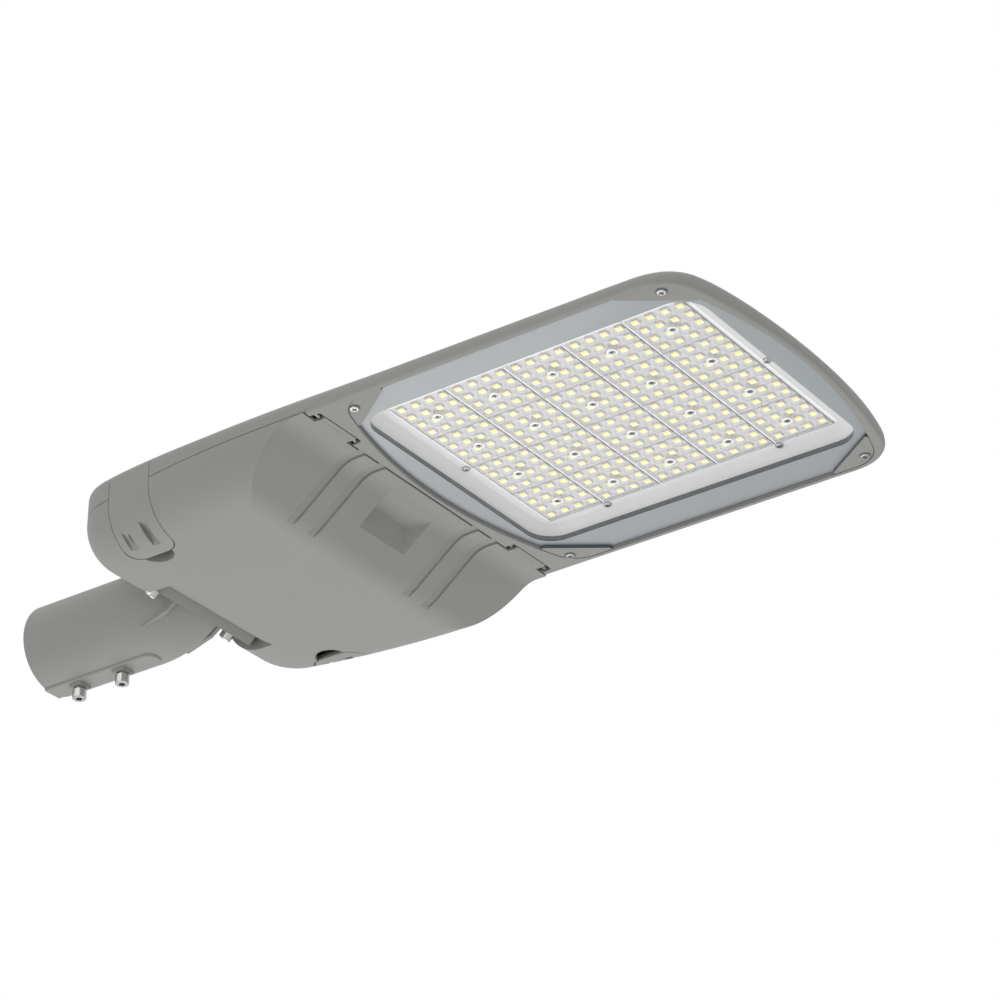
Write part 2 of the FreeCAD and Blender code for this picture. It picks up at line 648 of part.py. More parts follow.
def latch(s):
    """Strap that follows the side of the head, with hook, pivot lug and finger scallops."""
    cx = LATCH_X0 + LATCH_W / 2
    form = skin_at(0.0).cut(skin_at(LATCH_T))
    plan = latch_plan(0.0, 0.0, BOTTOM_Z - 5, EDGE_Z + 8.0)
    plan = plan.cut(box(0, FRONT_X, 0, LATCH_SIDE - LATCH_TOP_IN, SEAM_Z, 100))
    strap = form.common(plan)
    hook = box(LATCH_X0 + 10, LATCH_X1 - 10, LATCH_SIDE - LATCH_T - HOOK_REACH, LATCH_SIDE - 1.0,
               HOOK_Z, HOOK_Z + HOOK_T)
    lug = rod((cx - 12, PIVOT_Y, PIVOT_Z), (1, 0, 0), 3.0, 24.0)
    lug = lug.fuse(slab([(cx - 12, PIVOT_Z - 6), (cx + 12, PIVOT_Z - 6), (cx + 12, PIVOT_Z + 3),
                         (cx - 12, PIVOT_Z + 3)], PIVOT_Y - 1, PIVOT_Y + 8))
    pad = skin_at(0.0).cut(skin_at(DENT_PAD))
    pad = pad.common(box(cx + DENT_X[0] - 4.2, cx + DENT_X[1] + 5.5, PIVOT_Y - 21.0, PIVOT_Y + 6.0,
                         BOTTOM_Z - 1, PIVOT_Z))
    lug = lug.common(skin_at(1.0))
    body = strap.fuse(hook.common(skin_at(0.5))).fuse(lug).fuse(pad)
    body = body.cut(rod((cx - 30, PIVOT_Y, PIVOT_Z), (1, 0, 0), LATCH_PIN_R + PIN_CLEAR, 60.0))
    cy = LATCH_SIDE - COVER_EDGE_R
    cz = BOTTOM_Z + COVER_EDGE_R
    out = V(0, math.cos(math.radians(DENT_ANGLE)), -math.sin(math.radians(DENT_ANGLE)))
    far = COVER_EDGE_R - DENT_DEPTH + DENT_R
    for dx in DENT_X:
        p = V(cx + dx - DENT_W / 2, cy, cz) + out * far
        body = body.cut(rod((p.x, p.y, p.z), (1, 0, 0), DENT_R, DENT_W))
        hole = V(cx + dx + DENT_W / 2 - 2.4, cy, cz) + out * (COVER_EDGE_R - DENT_PAD - 1.0)
        slot = Part.makeBox(2.4, 6.0, DENT_PAD, hole - V(0, 3.0, 0))
        slot.rotate(hole, V(1, 0, 0), DENT_ANGLE - 90.0 + 180.0)
        body = body.cut(slot)
    return mirror_y(body.removeSplitter(), s)


def latch_pin(s):
    cx = LATCH_X0 + LATCH_W / 2
    pin = rod((cx - LATCH_PIN_HALF, PIVOT_Y, PIVOT_Z), (1, 0, 0), LATCH_PIN_R, 2 * LATCH_PIN_HALF)
    return mirror_y(pin, s)


def pull(grow):
    """Finger recess in the ramp of the cover, drafted on all sides."""
    top, deep, foot = [(HINGE_X - d, HINGE_Z - h) for d, h in (PULL_TOP, PULL_CORNER, PULL_FOOT)]
    end = (1.5 * top[0] - 0.5 * deep[0], 1.5 * top[1] - 0.5 * deep[1])
    low = (1.5 * foot[0] - 0.5 * deep[0], 1.5 * foot[1] - 0.5 * deep[1])
    side = [(end[0], end[1] + grow), (deep[0] - grow, deep[1] + grow), (low[0] - grow, low[1]),
            (HINGE_X, low[1]), (HINGE_X, end[1] + grow)]
    tool = slab(side, -PULL_HALF - 20.0, PULL_HALF + 20.0)
    # Section square to the ramp, narrower towards its back
    ang = math.radians(RAMP_ANGLE)
    along = V(math.cos(ang), 0, math.sin(ang))
    inward = V(-math.sin(ang), 0, math.cos(ang))
    start = V(foot[0], 0, foot[1]) - along * 30.0
    section = []
    for n, side_y in ((-12.0, 1), (16.0, 1), (16.0, -1), (-12.0, -1)):
        half = PULL_HALF - PULL_DRAFT * n + 1.25 * grow
        section.append(start + inward * n + V(0, side_y * half, 0))
    tool = tool.common(Part.Face(Part.makePolygon(section + [section[0]])).extrude(along * 90.0))
    if grow > 0:
        return tool
    back = [e for e in tool.Edges if any(abs(v.X - deep[0]) < 0.01 and abs(v.Z - deep[1]) < 0.01
                                         for v in e.Vertexes)]
    return tool.makeFillet(PULL_R, back)


def groove_end(y0, y1):
    """Solid behind a groove's straight floor, which runs out of the rounded foot of the ramp."""
    x0, z0, a, m1, b, c, m2, d, zb = cover_profile(0.0)
    sn = math.sin(math.radians(RAMP_ANGLE))
    cs = math.cos(math.radians(RAMP_ANGLE))
    q = (c[0] - GROOVE_DEPTH * sn, c[1] + GROOVE_DEPTH * cs)
    run = 40.0
    return slab([(q[0], q[1]), (q[0] - run * cs, q[1] - run * sn), (q[0] - 3 * run, q[1] - run * sn),
                 (q[0] - 3 * run, q[1])], y0, y1)


def gear_cover():
    front = HINGE_X - 4.5
    outer = cover_form(0.0, COVER_TOP, front)
    inner = cover_form(COVER_WALL, COVER_TOP + 1, front + 1)
    body = outer.cut(inner)
    # The front edge reaches up behind the partition, level with the rim below
    shelf_half = HALF - WALL - LIP_W - 1.5
    shelf = ramp_solid(0.0, SEAM_Z + 20.0, front, -shelf_half, shelf_half)
    shelf = shelf.cut(ramp_solid(COVER_WALL, SEAM_Z + 25.0, front + 1, -HALF, HALF))
    body = body.fuse(shelf.common(box(front - 40.0, front, -HALF, HALF, BOTTOM_Z, SEAM_Z + 1.2)))
    lip = prism(head_wire(COVER_TOP - LIP_H, COVER_WALL - 1), LIP_H)
    lip = lip.cut(prism(head_wire(COVER_TOP - LIP_H - 1, WALL + LIP_W), LIP_H + 2))
    lip = lip.common(box(REAR_X, PART_X - 12, -HALF, HALF, BOTTOM_Z, COVER_TOP)).common(outer)
    body = body.fuse(lip)
    low = HINGE_Z - 3.0
    for s in (-1, 1):
        ya, yb = sorted((s * TONGUE_IN, s * TONGUE_OUT))
        tongue = box(front - 8, HINGE_X + TONGUE_REACH, ya, yb, low, HINGE_Z)
        eye = rod((HINGE_X, ya, HINGE_Z), (0, 1, 0), 3.4, yb - ya)
        body = body.fuse(tongue.fuse(eye))
        body = body.cut(rod((HINGE_X, ya - 5, HINGE_Z), (0, 1, 0), PIN_R + PIN_CLEAR, yb - ya + 10))
    body = body.fuse(pull(COVER_WALL).common(outer)).cut(pull(0.0))
    # Notch round the flange of the spigot, with a drafted front edge
    half = FLANGE_HALF_W + 3.3
    face = FLANGE_X + FLANGE_Z + FLANGE_T / S45
    tip_x = FLANGE_X + 35.4
    notch = [(REAR_X - 20, BOTTOM_Z - 5), (tip_x + 18.0, BOTTOM_Z - 5), (tip_x + 9.9, BOTTOM_Z),
             (tip_x, BOTTOM_Z + 6.1), (tip_x, SEAM_Z + 5), (REAR_X - 20, SEAM_Z + 5)]
    wall = [(REAR_X - 20, BOTTOM_Z - 5), (tip_x + 22.0, BOTTOM_Z - 5), (tip_x + 13.0, BOTTOM_Z + 3),
            (tip_x + COVER_WALL, BOTTOM_Z + 9.5), (tip_x + COVER_WALL, SEAM_Z + 5), (REAR_X - 20, SEAM_Z + 5)]
    collar = slab(wall, -half - COVER_WALL, half + COVER_WALL).common(cover_form(0.0, COVER_TOP, front))
    body = body.fuse(collar).cut(slab(notch, -half, half))
    for s in (-1, 1):
        well = latch_well(COVER_WALL).fuse(scoop(COVER_WALL))
        back = skin_at(LATCH_T + LATCH_GAP).cut(skin_at(LATCH_T + LATCH_GAP + COVER_WALL))
        back = back.common(latch_plan(3.0, 3.0, BOTTOM_Z, COVER_TOP))
        add = mirror_y(well, s).common(outer).fuse(mirror_y(back, s).common(outer))
        body = body.fuse(add)
        body = body.cut(latch_space(s))
        body = body.cut(mirror_y(latch_well(0.0).fuse(scoop(0.0)), s))
        cx = LATCH_X0 + LATCH_W / 2
        behind = skin_at(LATCH_T + LATCH_GAP)
        swung = behind.copy()
        swung.rotate(V(cx, PIVOT_Y, PIVOT_Z), V(-1, 0, 0), LATCH_SWING)
        for dx in (-LATCH_PIN_HALF, LATCH_PIN_HALF - EAR_T):
            ear = rod((cx + dx, PIVOT_Y, PIVOT_Z), (1, 0, 0), 3.2, EAR_T)
            ear = ear.fuse(box(cx + dx, cx + dx + EAR_T, PIVOT_Y - 3.2, PIVOT_Y + 3.0, PIVOT_Z, PIVOT_Z + 6.5))
            ear = ear.common(behind).common(swung)
            body = body.fuse(mirror_y(ear, s))
        bore = rod((cx - LATCH_PIN_HALF - 0.2, PIVOT_Y, PIVOT_Z), (1, 0, 0), LATCH_PIN_R + PIN_CLEAR,
                   2 * LATCH_PIN_HALF + 0.4)
        body = body.cut(mirror_y(bore, s))
    # Shallow grooves down the ramp
    for y in GROOVE_Y:
        for s in (-1, 1):
            ya, yb = s * y - GROOVE_W / 2, s * y + GROOVE_W / 2
            keep = ramp_solid(GROOVE_DEPTH, COVER_TOP + 3, HINGE_X + 20, ya - 1, yb + 1)
            keep = keep.fuse(groove_end(ya - 1, yb + 1))
            body = body.cut(box(HINGE_X - GROOVE_REACH, HINGE_X, ya, yb, BOTTOM_Z - 2, COVER_TOP + 3).cut(keep))
    return body.removeSplitter()


def glass_pane():
    pane = prism(recess_wire(GLASS_Z, GLASS_CLEAR), GLASS_T)
    return cut_corners(pane, CLIP_LINE + CLIP_HOLD, GLASS_Z - 1, GLASS_Z + GLASS_T + 1)


def glass_gasket():
    z = GLASS_Z + GLASS_T
    ring = prism(recess_wire(z, GLASS_CLEAR + 0.5), GASKET_T)
    ring = cut_corners(ring, CLIP_LINE + CLIP_HOLD - 0.5, z - 1, z + 9)
    hole = cut_corners(prism(recess_wire(z - 1, SEAT_W), GASKET_T + 2), CLIP_LINE, z - 1, z + 9)
    return ring.cut(hole)


def corner_clip(sx, sy):
    z = GLASS_Z - CLIP_T
    plate = prism(recess_wire(z, GLASS_CLEAR), CLIP_T)
    inner = cut_corners(prism(recess_wire(z - 1, -5.0), CLIP_T + 2), CLIP_LINE, z - 2, z + CLIP_T + 2)
    quarter = box(*sorted((LED_X, LED_X + sx * 300.0)), *sorted((0.0, sy * HALF)), z, z + CLIP_T)
    clip = plate.cut(inner).common(quarter)
    x = LED_X + sx * CLIP_SCREW_X
    y = sy * (RECESS_HALF - CLIP_SCREW_IN)
    clip = clip.cut(rod((x, y, z - 1), (0, 0, 1), 2.2, CLIP_T + 2))
    ends = [e for e in clip.Edges if e.BoundBox.ZLength > CLIP_T - 0.1 and e.Curve.TypeId == "Part::GeomLine"]
    tips = [e for e in ends if corner_side(e.Vertexes[0].X, e.Vertexes[0].Y) < CLIP_LINE + 0.5]
    return clip.makeFillet(1.5, tips)


def screw(x, y, z_head, head_r, head_h, shank_r, shank_l):
    """Cross-head screw that points up, with its head below z_head."""
    head = rod((x, y, z_head - head_h), (0, 0, 1), head_r, head_h)
    rim = [e for e in head.Edges if e.BoundBox.ZMax < z_head - head_h + 0.01 and len(e.Vertexes) == 1]
    head = head.makeFillet(head_h * 0.45, rim)
    arm = head_r * 0.55
    w = head_r * 0.16
    z0 = z_head - head_h - 0.1
    cross = box(x - arm, x + arm, y - w, y + w, z0, z0 + head_h * 0.6)
    cross = cross.fuse(box(x - w, x + w, y - arm, y + arm, z0, z0 + head_h * 0.6))
    head = head.cut(cross)
    return head.fuse(rod((x, y, z_head - 0.01), (0, 0, 1), shank_r, shank_l))


def reflector_tray():
    z1 = LED_Z - 0.6
    z0 = z1 - TRAY_RISE
    sx = TRAY_HALF_X + TRAY_SPREAD
    sy = TRAY_HALF_Y + TRAY_SPREAD - 0.5
    outer = Part.makeLoft([rect_wire(LED_X, 0, sx + TRAY_T, sy + TRAY_T, TRAY_CORNER_R + 9, z0),
                           rect_wire(LED_X, 0, TRAY_HALF_X + TRAY_T, TRAY_HALF_Y + TRAY_T, TRAY_CORNER_R + 1,
                                     z1 + TRAY_T)], True, True)
    inner = Part.makeLoft([rect_wire(LED_X, 0, sx, sy, TRAY_CORNER_R + 8, z0),
                           rect_wire(LED_X, 0, TRAY_HALF_X, TRAY_HALF_Y, TRAY_CORNER_R, z1)], True, True)
    tray = outer.cut(inner)
    hx = MODULE_COLS * PITCH / 2 + 0.4
    hy = MODULE_ROWS * PITCH / 2 + 0.4
    tray = tray.cut(rect_solid(LED_X, 0, hx, hy, z1 - 1, z1 + TRAY_T + 1))
    for x, y in tray_points():
        tray = tray.cut(rod((x, y, z1 - 1), (0, 0, 1), 1.7, TRAY_T + 2))
    return tray


def rect_solid(cx, cy, hx, hy, z0, z1):
    return box(cx - hx, cx + hx, cy - hy, cy + hy, z0, z1)


def tray_points():
    y = TRAY_HALF_Y - 3.2
    x = TRAY_HALF_X - 3.2
    pts = [(LED_X - x, 0.0), (LED_X + x, 0.0)]
    for sx in (-1, 1):
        for sy in (-1, 1):
            pts.append((LED_X + sx * TRAY_SCREW_X, sy * y))
    return pts


def module_centres():
    out = []
    for i in range(MODULE_COLS):
        for j in range(MODULE_ROWS):
            x = LED_X + (i - (MODULE_COLS - 1) / 2.0) * PITCH
            y = (j - (MODULE_ROWS - 1) / 2.0) * PITCH
            out.append((i, j, x, y))
    return out


def lens_module(x, y):
    half = (PITCH - MODULE_GAP) / 2
    z1 = BOARD_Z - 0.05
    z0 = LED_Z - LENS_PLATE_T
    plate = rect_solid(x, y, half, half, z0, z1)
    domes = []
    for i in range(LENS_PER_SIDE):
        for j in range(LENS_PER_SIDE):
            cx = x + (i - (LENS_PER_SIDE - 1) / 2.0) * LENS_PITCH
            cy = y + (j - (LENS_PER_SIDE - 1) / 2.0) * LENS_PITCH
            rings = []
            for r, z in ((LENS_BASE_R, z0 + 0.2), (LENS_TOP_R, z0 - LENS_H)):
                pts = [V(cx + r * math.cos(2 * math.pi * k / LENS_SIDES),
                         cy + r * math.sin(2 * math.pi * k / LENS_SIDES), z) for k in range(LENS_SIDES)]
                rings.append(Part.makePolygon(pts + [pts[0]]))
            domes.append(Part.makeLoft(rings, True, True))
    body = plate.multiFuse(domes).removeSplitter()
    return body.cut(rod((x, y, z0 - 1), (0, 0, 1), 1.7, LENS_PLATE_T + 3))


def led_board():
    hx = MODULE_COLS * PITCH / 2 + 1.5
    hy = MODULE_ROWS * PITCH / 2 + 1.5
    board = rect_solid(LED_X, 0, hx, hy, BOARD_Z, BOARD_Z + BOARD_T)
    for i, j, x, y in module_centres():
        board = board.cut(rod((x, y, BOARD_Z - 1), (0, 0, 1), 1.6, BOARD_T + 2))
    return board


def flange_place(shape):
    """Turn a shape made flat on Z=0 so that it lies on the outer face of the flange."""
    out = shape.copy()
    out.rotate(V(0, 0, 0), V(0, 1, 0), 45.0)
    out.translate(V(FLANGE_X, 0, FLANGE_Z))
    return out


def spigot():
    def ring(x, z, tilt, r):
        d = V(math.cos(math.radians(tilt)), 0, math.sin(math.radians(tilt)))
        return Part.Wire([Part.makeCircle(r, V(x, 0, z), d)])

    tube = rod((0, 0, 0), (1, 0, 0), TUBE_R, 91.0)
    bend = Part.makeLoft([ring(91.0, 0, 0, TUBE_R), ring(111.0, 2.0, 22.5, TUBE_R),
                          ring(FLANGE_X + 2.0, FLANGE_Z + 2.0, 45.0, TUBE_R)], True, False)
    plate = prism(rect_wire(0, 0, FLANGE_HALF_H, FLANGE_HALF_W, 7.0, 0), FLANGE_T)
    body = tube.fuse(bend).fuse(flange_place(plate))
    foot = prism(rect_wire(RIB_END / 2 - 8, 0, RIB_END / 2 + 8, RIB_HALF, RIB_HALF - 0.2, -RIB_Z), RIB_Z - 10)
    foot = foot.common(box(0, RIB_END + 5, -20, 20, -RIB_Z - 1, 0))
    low = [e for e in foot.Edges if e.BoundBox.ZMax < -RIB_Z + 0.01 and e.BoundBox.XLength > 1.0]
    foot = foot.makeFillet(RIB_R, low)
    body = body.fuse(foot)
    for x in CLAMP_X:
        pad = box(x - CLAMP_PAD / 2, x + CLAMP_PAD / 2, -CLAMP_PAD / 2, CLAMP_PAD / 2,
                  -RIB_Z - CLAMP_PAD_T, -RIB_Z + 1)
        body = body.fuse(pad)
    for s in (-1, 1):
        web = slab([(FLANGE_X + 22, FLANGE_Z - 20), (FLANGE_X + 2, FLANGE_Z - 2), (FLANGE_X - 14, FLANGE_Z - 4),
                    (FLANGE_X - 12, FLANGE_Z - 34), (FLANGE_X + 12, FLANGE_Z - 27)], s * 26 - 1.8, s * 26 + 1.8)
        body = body.fuse(web)
    body = body.cut(rod((-1, 0, 0), (1, 0, 0), SOCKET_R, SOCKET_DEPTH + 1))
    way = Part.makeLoft([ring(SOCKET_DEPTH - 1, 0, 0, PASSAGE_R), ring(111.0, 3.0, 22.5, PASSAGE_R),
                         ring(FLANGE_X + 12.0, FLANGE_Z + 12.0, 45.0, PASSAGE_R)], True, False)
    body = body.cut(way)
    for x in CLAMP_X:
        body = body.cut(rod((x, 0, -RIB_Z - CLAMP_PAD_T - 1), (0, 0, 1), CLAMP_BOLT_R, 14.0))
    n = (S45, 0, S45)
    for x, y, z in flange_points():
        body = body.cut(rod((x - S45, y, z - S45), n, BOLT_R + 0.3, FLANGE_T + 2))
    return body.removeSplitter()


def cap_bolt(p, d, shank_r, shank_l, head_r, head_h):
    """Socket head bolt: p is under the head, d points along the shank."""
    head = Part.makeCylinder(head_r, head_h, V(0, 0, -head_h), V(0, 0, 1))
    rim = [e for e in head.Edges if e.BoundBox.ZMax < -head_h + 0.01 and len(e.Vertexes) == 1]
    head = head.makeChamfer(0.6, rim)
    hexagon = []
    for k in range(7):
        a = math.pi * k / 3
        hexagon.append(V(0.5 * head_r * math.cos(a), 0.5 * head_r * math.sin(a), -head_h - 1))
    head = head.cut(Part.Face(Part.makePolygon(hexagon)).extrude(V(0, 0, 0.6 * head_h + 1)))
    bolt = head.fuse(Part.makeCylinder(shank_r, shank_l, V(0, 0, 0), V(0, 0, 1)))
    bolt.Placement = FreeCAD.Placement(V(*p), FreeCAD.Rotation(V(0, 0, 1), V(*d)))
    return bolt


def flange_bolts():
    out = []
    for x, y, z in flange_points():
        k = WASHER_T * S45
        out.append(cap_bolt((x - k, y, z - k), (S45, 0, S45), BOLT_R - 0.05, FLANGE_T + 10.0,
                            BOLT_HEAD_R, BOLT_HEAD_H))
    return Part.makeCompound(out)


def flange_washers():
    out = []
    for x, y, z in flange_points():
        k = WASHER_T * S45
        p = (x - k, y, z - k)
        n = (S45, 0, S45)
        out.append(rod(p, n, WASHER_R, WASHER_T).cut(rod(p, n, BOLT_R + 0.2, WASHER_T)))
    return Part.makeCompound(out)


def clamp_bolts():
    z = -RIB_Z - CLAMP_PAD_T - 2.2
    length = -z - SOCKET_R - 0.4
    return Part.makeCompound([cap_bolt((x, 0, z), (0, 0, 1), CLAMP_BOLT_R - 0.05, length,
                                       CLAMP_HEAD_R, CLAMP_HEAD_H) for x in CLAMP_X])


def flange_seal():
    plate = prism(rect_wire(0, 0, FLANGE_HALF_H - 2, FLANGE_HALF_W - 2, 6.0, FLANGE_T), FLANGE_SEAL)
    plate = flange_place(plate)
    n = (S45, 0, S45)
    plate = plate.cut(rod((FLANGE_X, 0, FLANGE_Z), n, PASSAGE_R + 2, 30.0))
    for x, y, z in flange_points():
        plate = plate.cut(rod((x, y, z), n, BOLT_R + 0.5, 30.0))
    return plate


def hinge_pin(s):
    return rod((HINGE_X, s * PIN_IN, HINGE_Z), (0, s, 0), PIN_R, PIN_OUT - PIN_IN)


def tray_bosses():
    x0 = GEAR_TRAY_X[0] + 12.0
    x1 = GEAR_TRAY_X[1] - 12.0
    y = GEAR_TRAY_HALF - 8.0
    return [(x0, -y), (x0, y), (x1, -y), (x1, y)]


def driver_feet():
    y = DRIVER_L / 2 + 6.0
    return [(DRIVER_X, -y), (DRIVER_X, y)]


def gear_tray():
    cx = (GEAR_TRAY_X[0] + GEAR_TRAY_X[1]) / 2
    hx = (GEAR_TRAY_X[1] - GEAR_TRAY_X[0]) / 2
    tray = prism(rect_wire(cx, 0, hx, GEAR_TRAY_HALF + 8.0, 10.0, GEAR_Z), GEAR_TRAY_T)
    for x, y in tray_bosses() + driver_feet():
        tray = tray.cut(rod((x, y, GEAR_Z - 1), (0, 0, 1), 1.9, GEAR_TRAY_T + 2))
    return tray


def gear_tray_screws():
    return Part.makeCompound([screw(x, y, GEAR_Z, 3.5, 2.2, 1.85, 8.0) for x, y in tray_bosses()])


def driver():
    case = prism(rect_wire(DRIVER_X, 0, DRIVER_W / 2, DRIVER_L / 2, 4.0, GEAR_Z - DRIVER_H), DRIVER_H)
    low = [e for e in case.Edges if e.BoundBox.ZMax < GEAR_Z - DRIVER_H + 0.01]
    case = case.makeFillet(2.5, low)
    foot = prism(rect_wire(DRIVER_X, 0, 13.0, DRIVER_L / 2 + 12.0, 4.0, GEAR_Z - 2.0), 2.0)
    case = case.fuse(foot)
    for x, y in driver_feet():
        case = case.cut(rod((x, y, GEAR_Z - 3), (0, 0, 1), 2.1, 4.0))
    return case


def driver_screws():
    return Part.makeCompound([screw(x, y, GEAR_Z - 2.0, 3.5, 2.2, 1.85, 5.0) for x, y in driver_feet()])


def surge_protector():
    x = SURGE_X - SURGE_L / 2 + 4.0
    can = rod((x, SURGE_Y, GEAR_Z - SURGE_R - 2.0), (1, 0, 0), SURGE_R, SURGE_L - 8.0)
    ends = [e for e in can.Edges if len(e.Vertexes) == 1]
    can = can.makeFillet(2.0, ends)
    base = box(SURGE_X - 13.0, SURGE_X + 13.0, SURGE_Y - 18.0, SURGE_Y + 18.0, GEAR_Z - 4.0, GEAR_Z)
    return can.fuse(base)


def terminal_block():
    half = BLOCK_POLES * BLOCK_PITCH / 2
    z0 = GEAR_Z - BLOCK_H
    block = box(BLOCK_X - BLOCK_W / 2, BLOCK_X + BLOCK_W / 2, BLOCK_Y - half, BLOCK_Y + half, z0, GEAR_Z)
    for i in range(BLOCK_POLES):
        y = BLOCK_Y - half + (i + 0.5) * BLOCK_PITCH
        block = block.cut(box(BLOCK_X - BLOCK_W, BLOCK_X - 4.5, y - 3.5, y + 3.5, z0 + 2.0, z0 + 9.0))
        block = block.cut(box(BLOCK_X + 4.5, BLOCK_X + BLOCK_W, y - 3.5, y + 3.5, z0 + 2.0, z0 + 9.0))
        block = block.cut(rod((BLOCK_X, y, z0 - 1), (0, 0, 1), 2.4, 4.0))
    return block


def cable_clamp():
    z = GEAR_Z - 11.0
    bar = box(BLOCK_X - 5.0, BLOCK_X + 5.0, CLAMP_Y - 14.0, CLAMP_Y + 14.0, z, GEAR_Z)
    bar = bar.cut(rod((BLOCK_X - 6, CLAMP_Y, z + 6.0), (1, 0, 0), 4.0, 12.0))
    ends = [e for e in bar.Edges if e.BoundBox.ZMax < z + 0.01 and e.BoundBox.XLength > 9.0]
    return bar.makeFillet(3.0, ends[:2])


def lead_grommet():
    n = (S45, 0, S45)
    k = (FLANGE_T + FLANGE_SEAL + 4.0) * S45
    p = (FLANGE_X + k, 0, FLANGE_Z + k)
    return rod(p, n, PASSAGE_R, 6.0).cut(rod(p, n, GROMMET_R, 6.0))


def main():
    os.makedirs("parts", exist_ok=True)
    save("housing", housing())
    save("gear_cover", gear_cover())
    save("compartment_gasket", gasket_ring(0.1, COVER_TOP, SEAM_Z + SEAL_UP))
    for name, s in (("right", -1), ("left", 1)):
        save("latch_" + name, latch(s))
        save("latch_pin_" + name, latch_pin(s))
        save("hinge_pin_" + name, hinge_pin(s))
    save("gear_tray", gear_tray())
    save("gear_tray_screws", gear_tray_screws())
    save("driver", driver())
    save("driver_screws", driver_screws())
    save("surge_protector", surge_protector())
    save("terminal_block", terminal_block())
    save("cable_clamp", cable_clamp())
    save("lead_grommet", lead_grommet())
    save("glass_pane", glass_pane())
    save("glass_gasket", glass_gasket())
    for end, sx in (("front", 1), ("rear", -1)):
        for side, sy in (("left", 1), ("right", -1)):
            save("clip_" + end + "_" + side, corner_clip(sx, sy))
    z = GLASS_Z - CLIP_T
    clip_screws = [screw(x, y, z, CLIP_SCREW_R, 1.6, 1.95, CLIP_SCREW_L) for x, y in clip_points()]
    save("clip_screws", Part.makeCompound(clip_screws))
    save("reflector_tray", reflector_tray())
    z = LED_Z - 0.6
    save("tray_screws", Part.makeCompound([screw(x, y, z, TRAY_SCREW_R, 1.6, 1.5, 5.0)
                                           for x, y in tray_points()]))
    save("led_board", led_board())
    z = LED_Z - LENS_PLATE_T
    save("module_screws", Part.makeCompound([screw(x, y, z, MODULE_SCREW_R, MODULE_SCREW_H, 1.5, 6.0)
                                             for i, j, x, y in module_centres()]))
    for i, j, x, y in module_centres():
        save("lens_module_%d_%d" % (i + 1, j + 1), lens_module(x, y))
    save("spigot", spigot())
    save("flange_bolts", flange_bolts())
    save("flange_washers", flange_washers())
    save("clamp_bolts", clamp_bolts())
    save("flange_seal", flange_seal())


main()
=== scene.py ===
import json
import math
import bmesh
import bpy
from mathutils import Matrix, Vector

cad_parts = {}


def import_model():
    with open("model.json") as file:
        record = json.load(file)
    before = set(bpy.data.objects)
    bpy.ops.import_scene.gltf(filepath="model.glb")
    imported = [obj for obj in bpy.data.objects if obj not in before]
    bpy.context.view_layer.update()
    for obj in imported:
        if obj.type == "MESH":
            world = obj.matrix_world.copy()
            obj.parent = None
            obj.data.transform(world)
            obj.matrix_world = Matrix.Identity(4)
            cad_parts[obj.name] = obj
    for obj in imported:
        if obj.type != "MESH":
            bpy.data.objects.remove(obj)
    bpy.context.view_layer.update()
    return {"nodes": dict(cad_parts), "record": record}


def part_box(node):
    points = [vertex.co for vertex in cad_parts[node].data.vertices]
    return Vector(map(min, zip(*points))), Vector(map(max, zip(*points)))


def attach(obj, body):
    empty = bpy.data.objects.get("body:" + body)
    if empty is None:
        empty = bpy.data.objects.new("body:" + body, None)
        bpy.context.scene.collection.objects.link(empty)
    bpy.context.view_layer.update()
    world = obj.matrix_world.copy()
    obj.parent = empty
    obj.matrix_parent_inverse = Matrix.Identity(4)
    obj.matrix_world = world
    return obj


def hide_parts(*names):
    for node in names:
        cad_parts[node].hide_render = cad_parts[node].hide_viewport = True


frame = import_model()

MM = 0.001

# Camera of the photograph, in the frame of the part
CAMERA_PLACE = (1.6831, -1.7448, -1.2149)
CAMERA_AZIMUTH = 35.643
CAMERA_ELEVATION = -29.414
LENS_MM = 122.462
SENSOR_MM = 36.0

# Glass: printed border with a clear window in it
WINDOW_HALF_X = 140.6 * MM
WINDOW_HALF_Y = 115.3 * MM
WINDOW_CORNER_R = 22.0 * MM
WINDOW_T = 0.6 * MM
WINDOW_IN = 0.1 * MM

# Lens modules and the chips under them
COLUMNS = 5
ROWS = 4
LENSES = 4
LENS_PITCH = 12.25 * MM
DOME_R = 4.4 * MM
DOME_H = 3.4 * MM
DOME_SHAPE = 2.3
DOME_SEGMENTS = 20
DOME_RINGS = 6
SKIN = 0.04 * MM          # thickness of strips and lines that lie on a face

# Painted highlight strip at the rear edge of a lens sheet, and painted shade lines at its front and left
# edges
REAR_HIGHLIGHT_WIDTH = 0.6 * MM
FRONT_SHADE_WIDTH = 0.8 * MM
SIDE_SHADE_WIDTH = 0.4 * MM
SIDE_SHADE_PROUD = 0.01 * MM

# White strips of board seen beyond the sheets, brightened with a painted glow
STRIP_GAP = 0.3 * MM
STRIP_TO_FRONT = 2.1 * MM
STRIP_TO_SIDE = 1.1 * MM
STRIP_T = 0.1 * MM
STRIP_BELOW_TRAY = 1.1 * MM

# Chip: its case, and the two halves of its phosphor
CHIP_X = 5.6 * MM
CHIP_Y = 5.9 * MM
CHIP_T = 1.4 * MM
CHIP_FRAME = 0.3 * MM
CHIP_SPLIT = -0.295 * MM
PHOSPHOR_T = 0.05 * MM
PAD_X = 1.0 * MM
PAD_Y = 0.7 * MM
PAD_T = 0.1 * MM
PAD_AWAY = 4.3 * MM

# Screw of a lens sheet: its eye, a dark disc of painted shade, the ring round its head, white with a painted
# glow, and the sleeve behind it
EYE_R = 1.3 * MM
EYE_OFF = 0.4 * MM
EYE_PROUD = 0.05 * MM
EYE_DEEP = 0.4 * MM
EYE_SEGMENTS = 16
GLOW_RING_R = (2.9 * MM, 3.8 * MM)
GLOW_RING_PROUD = 0.06 * MM
GLOW_RING_DEEP = 0.1 * MM
SLEEVE_R = (2.8 * MM, 3.7 * MM)
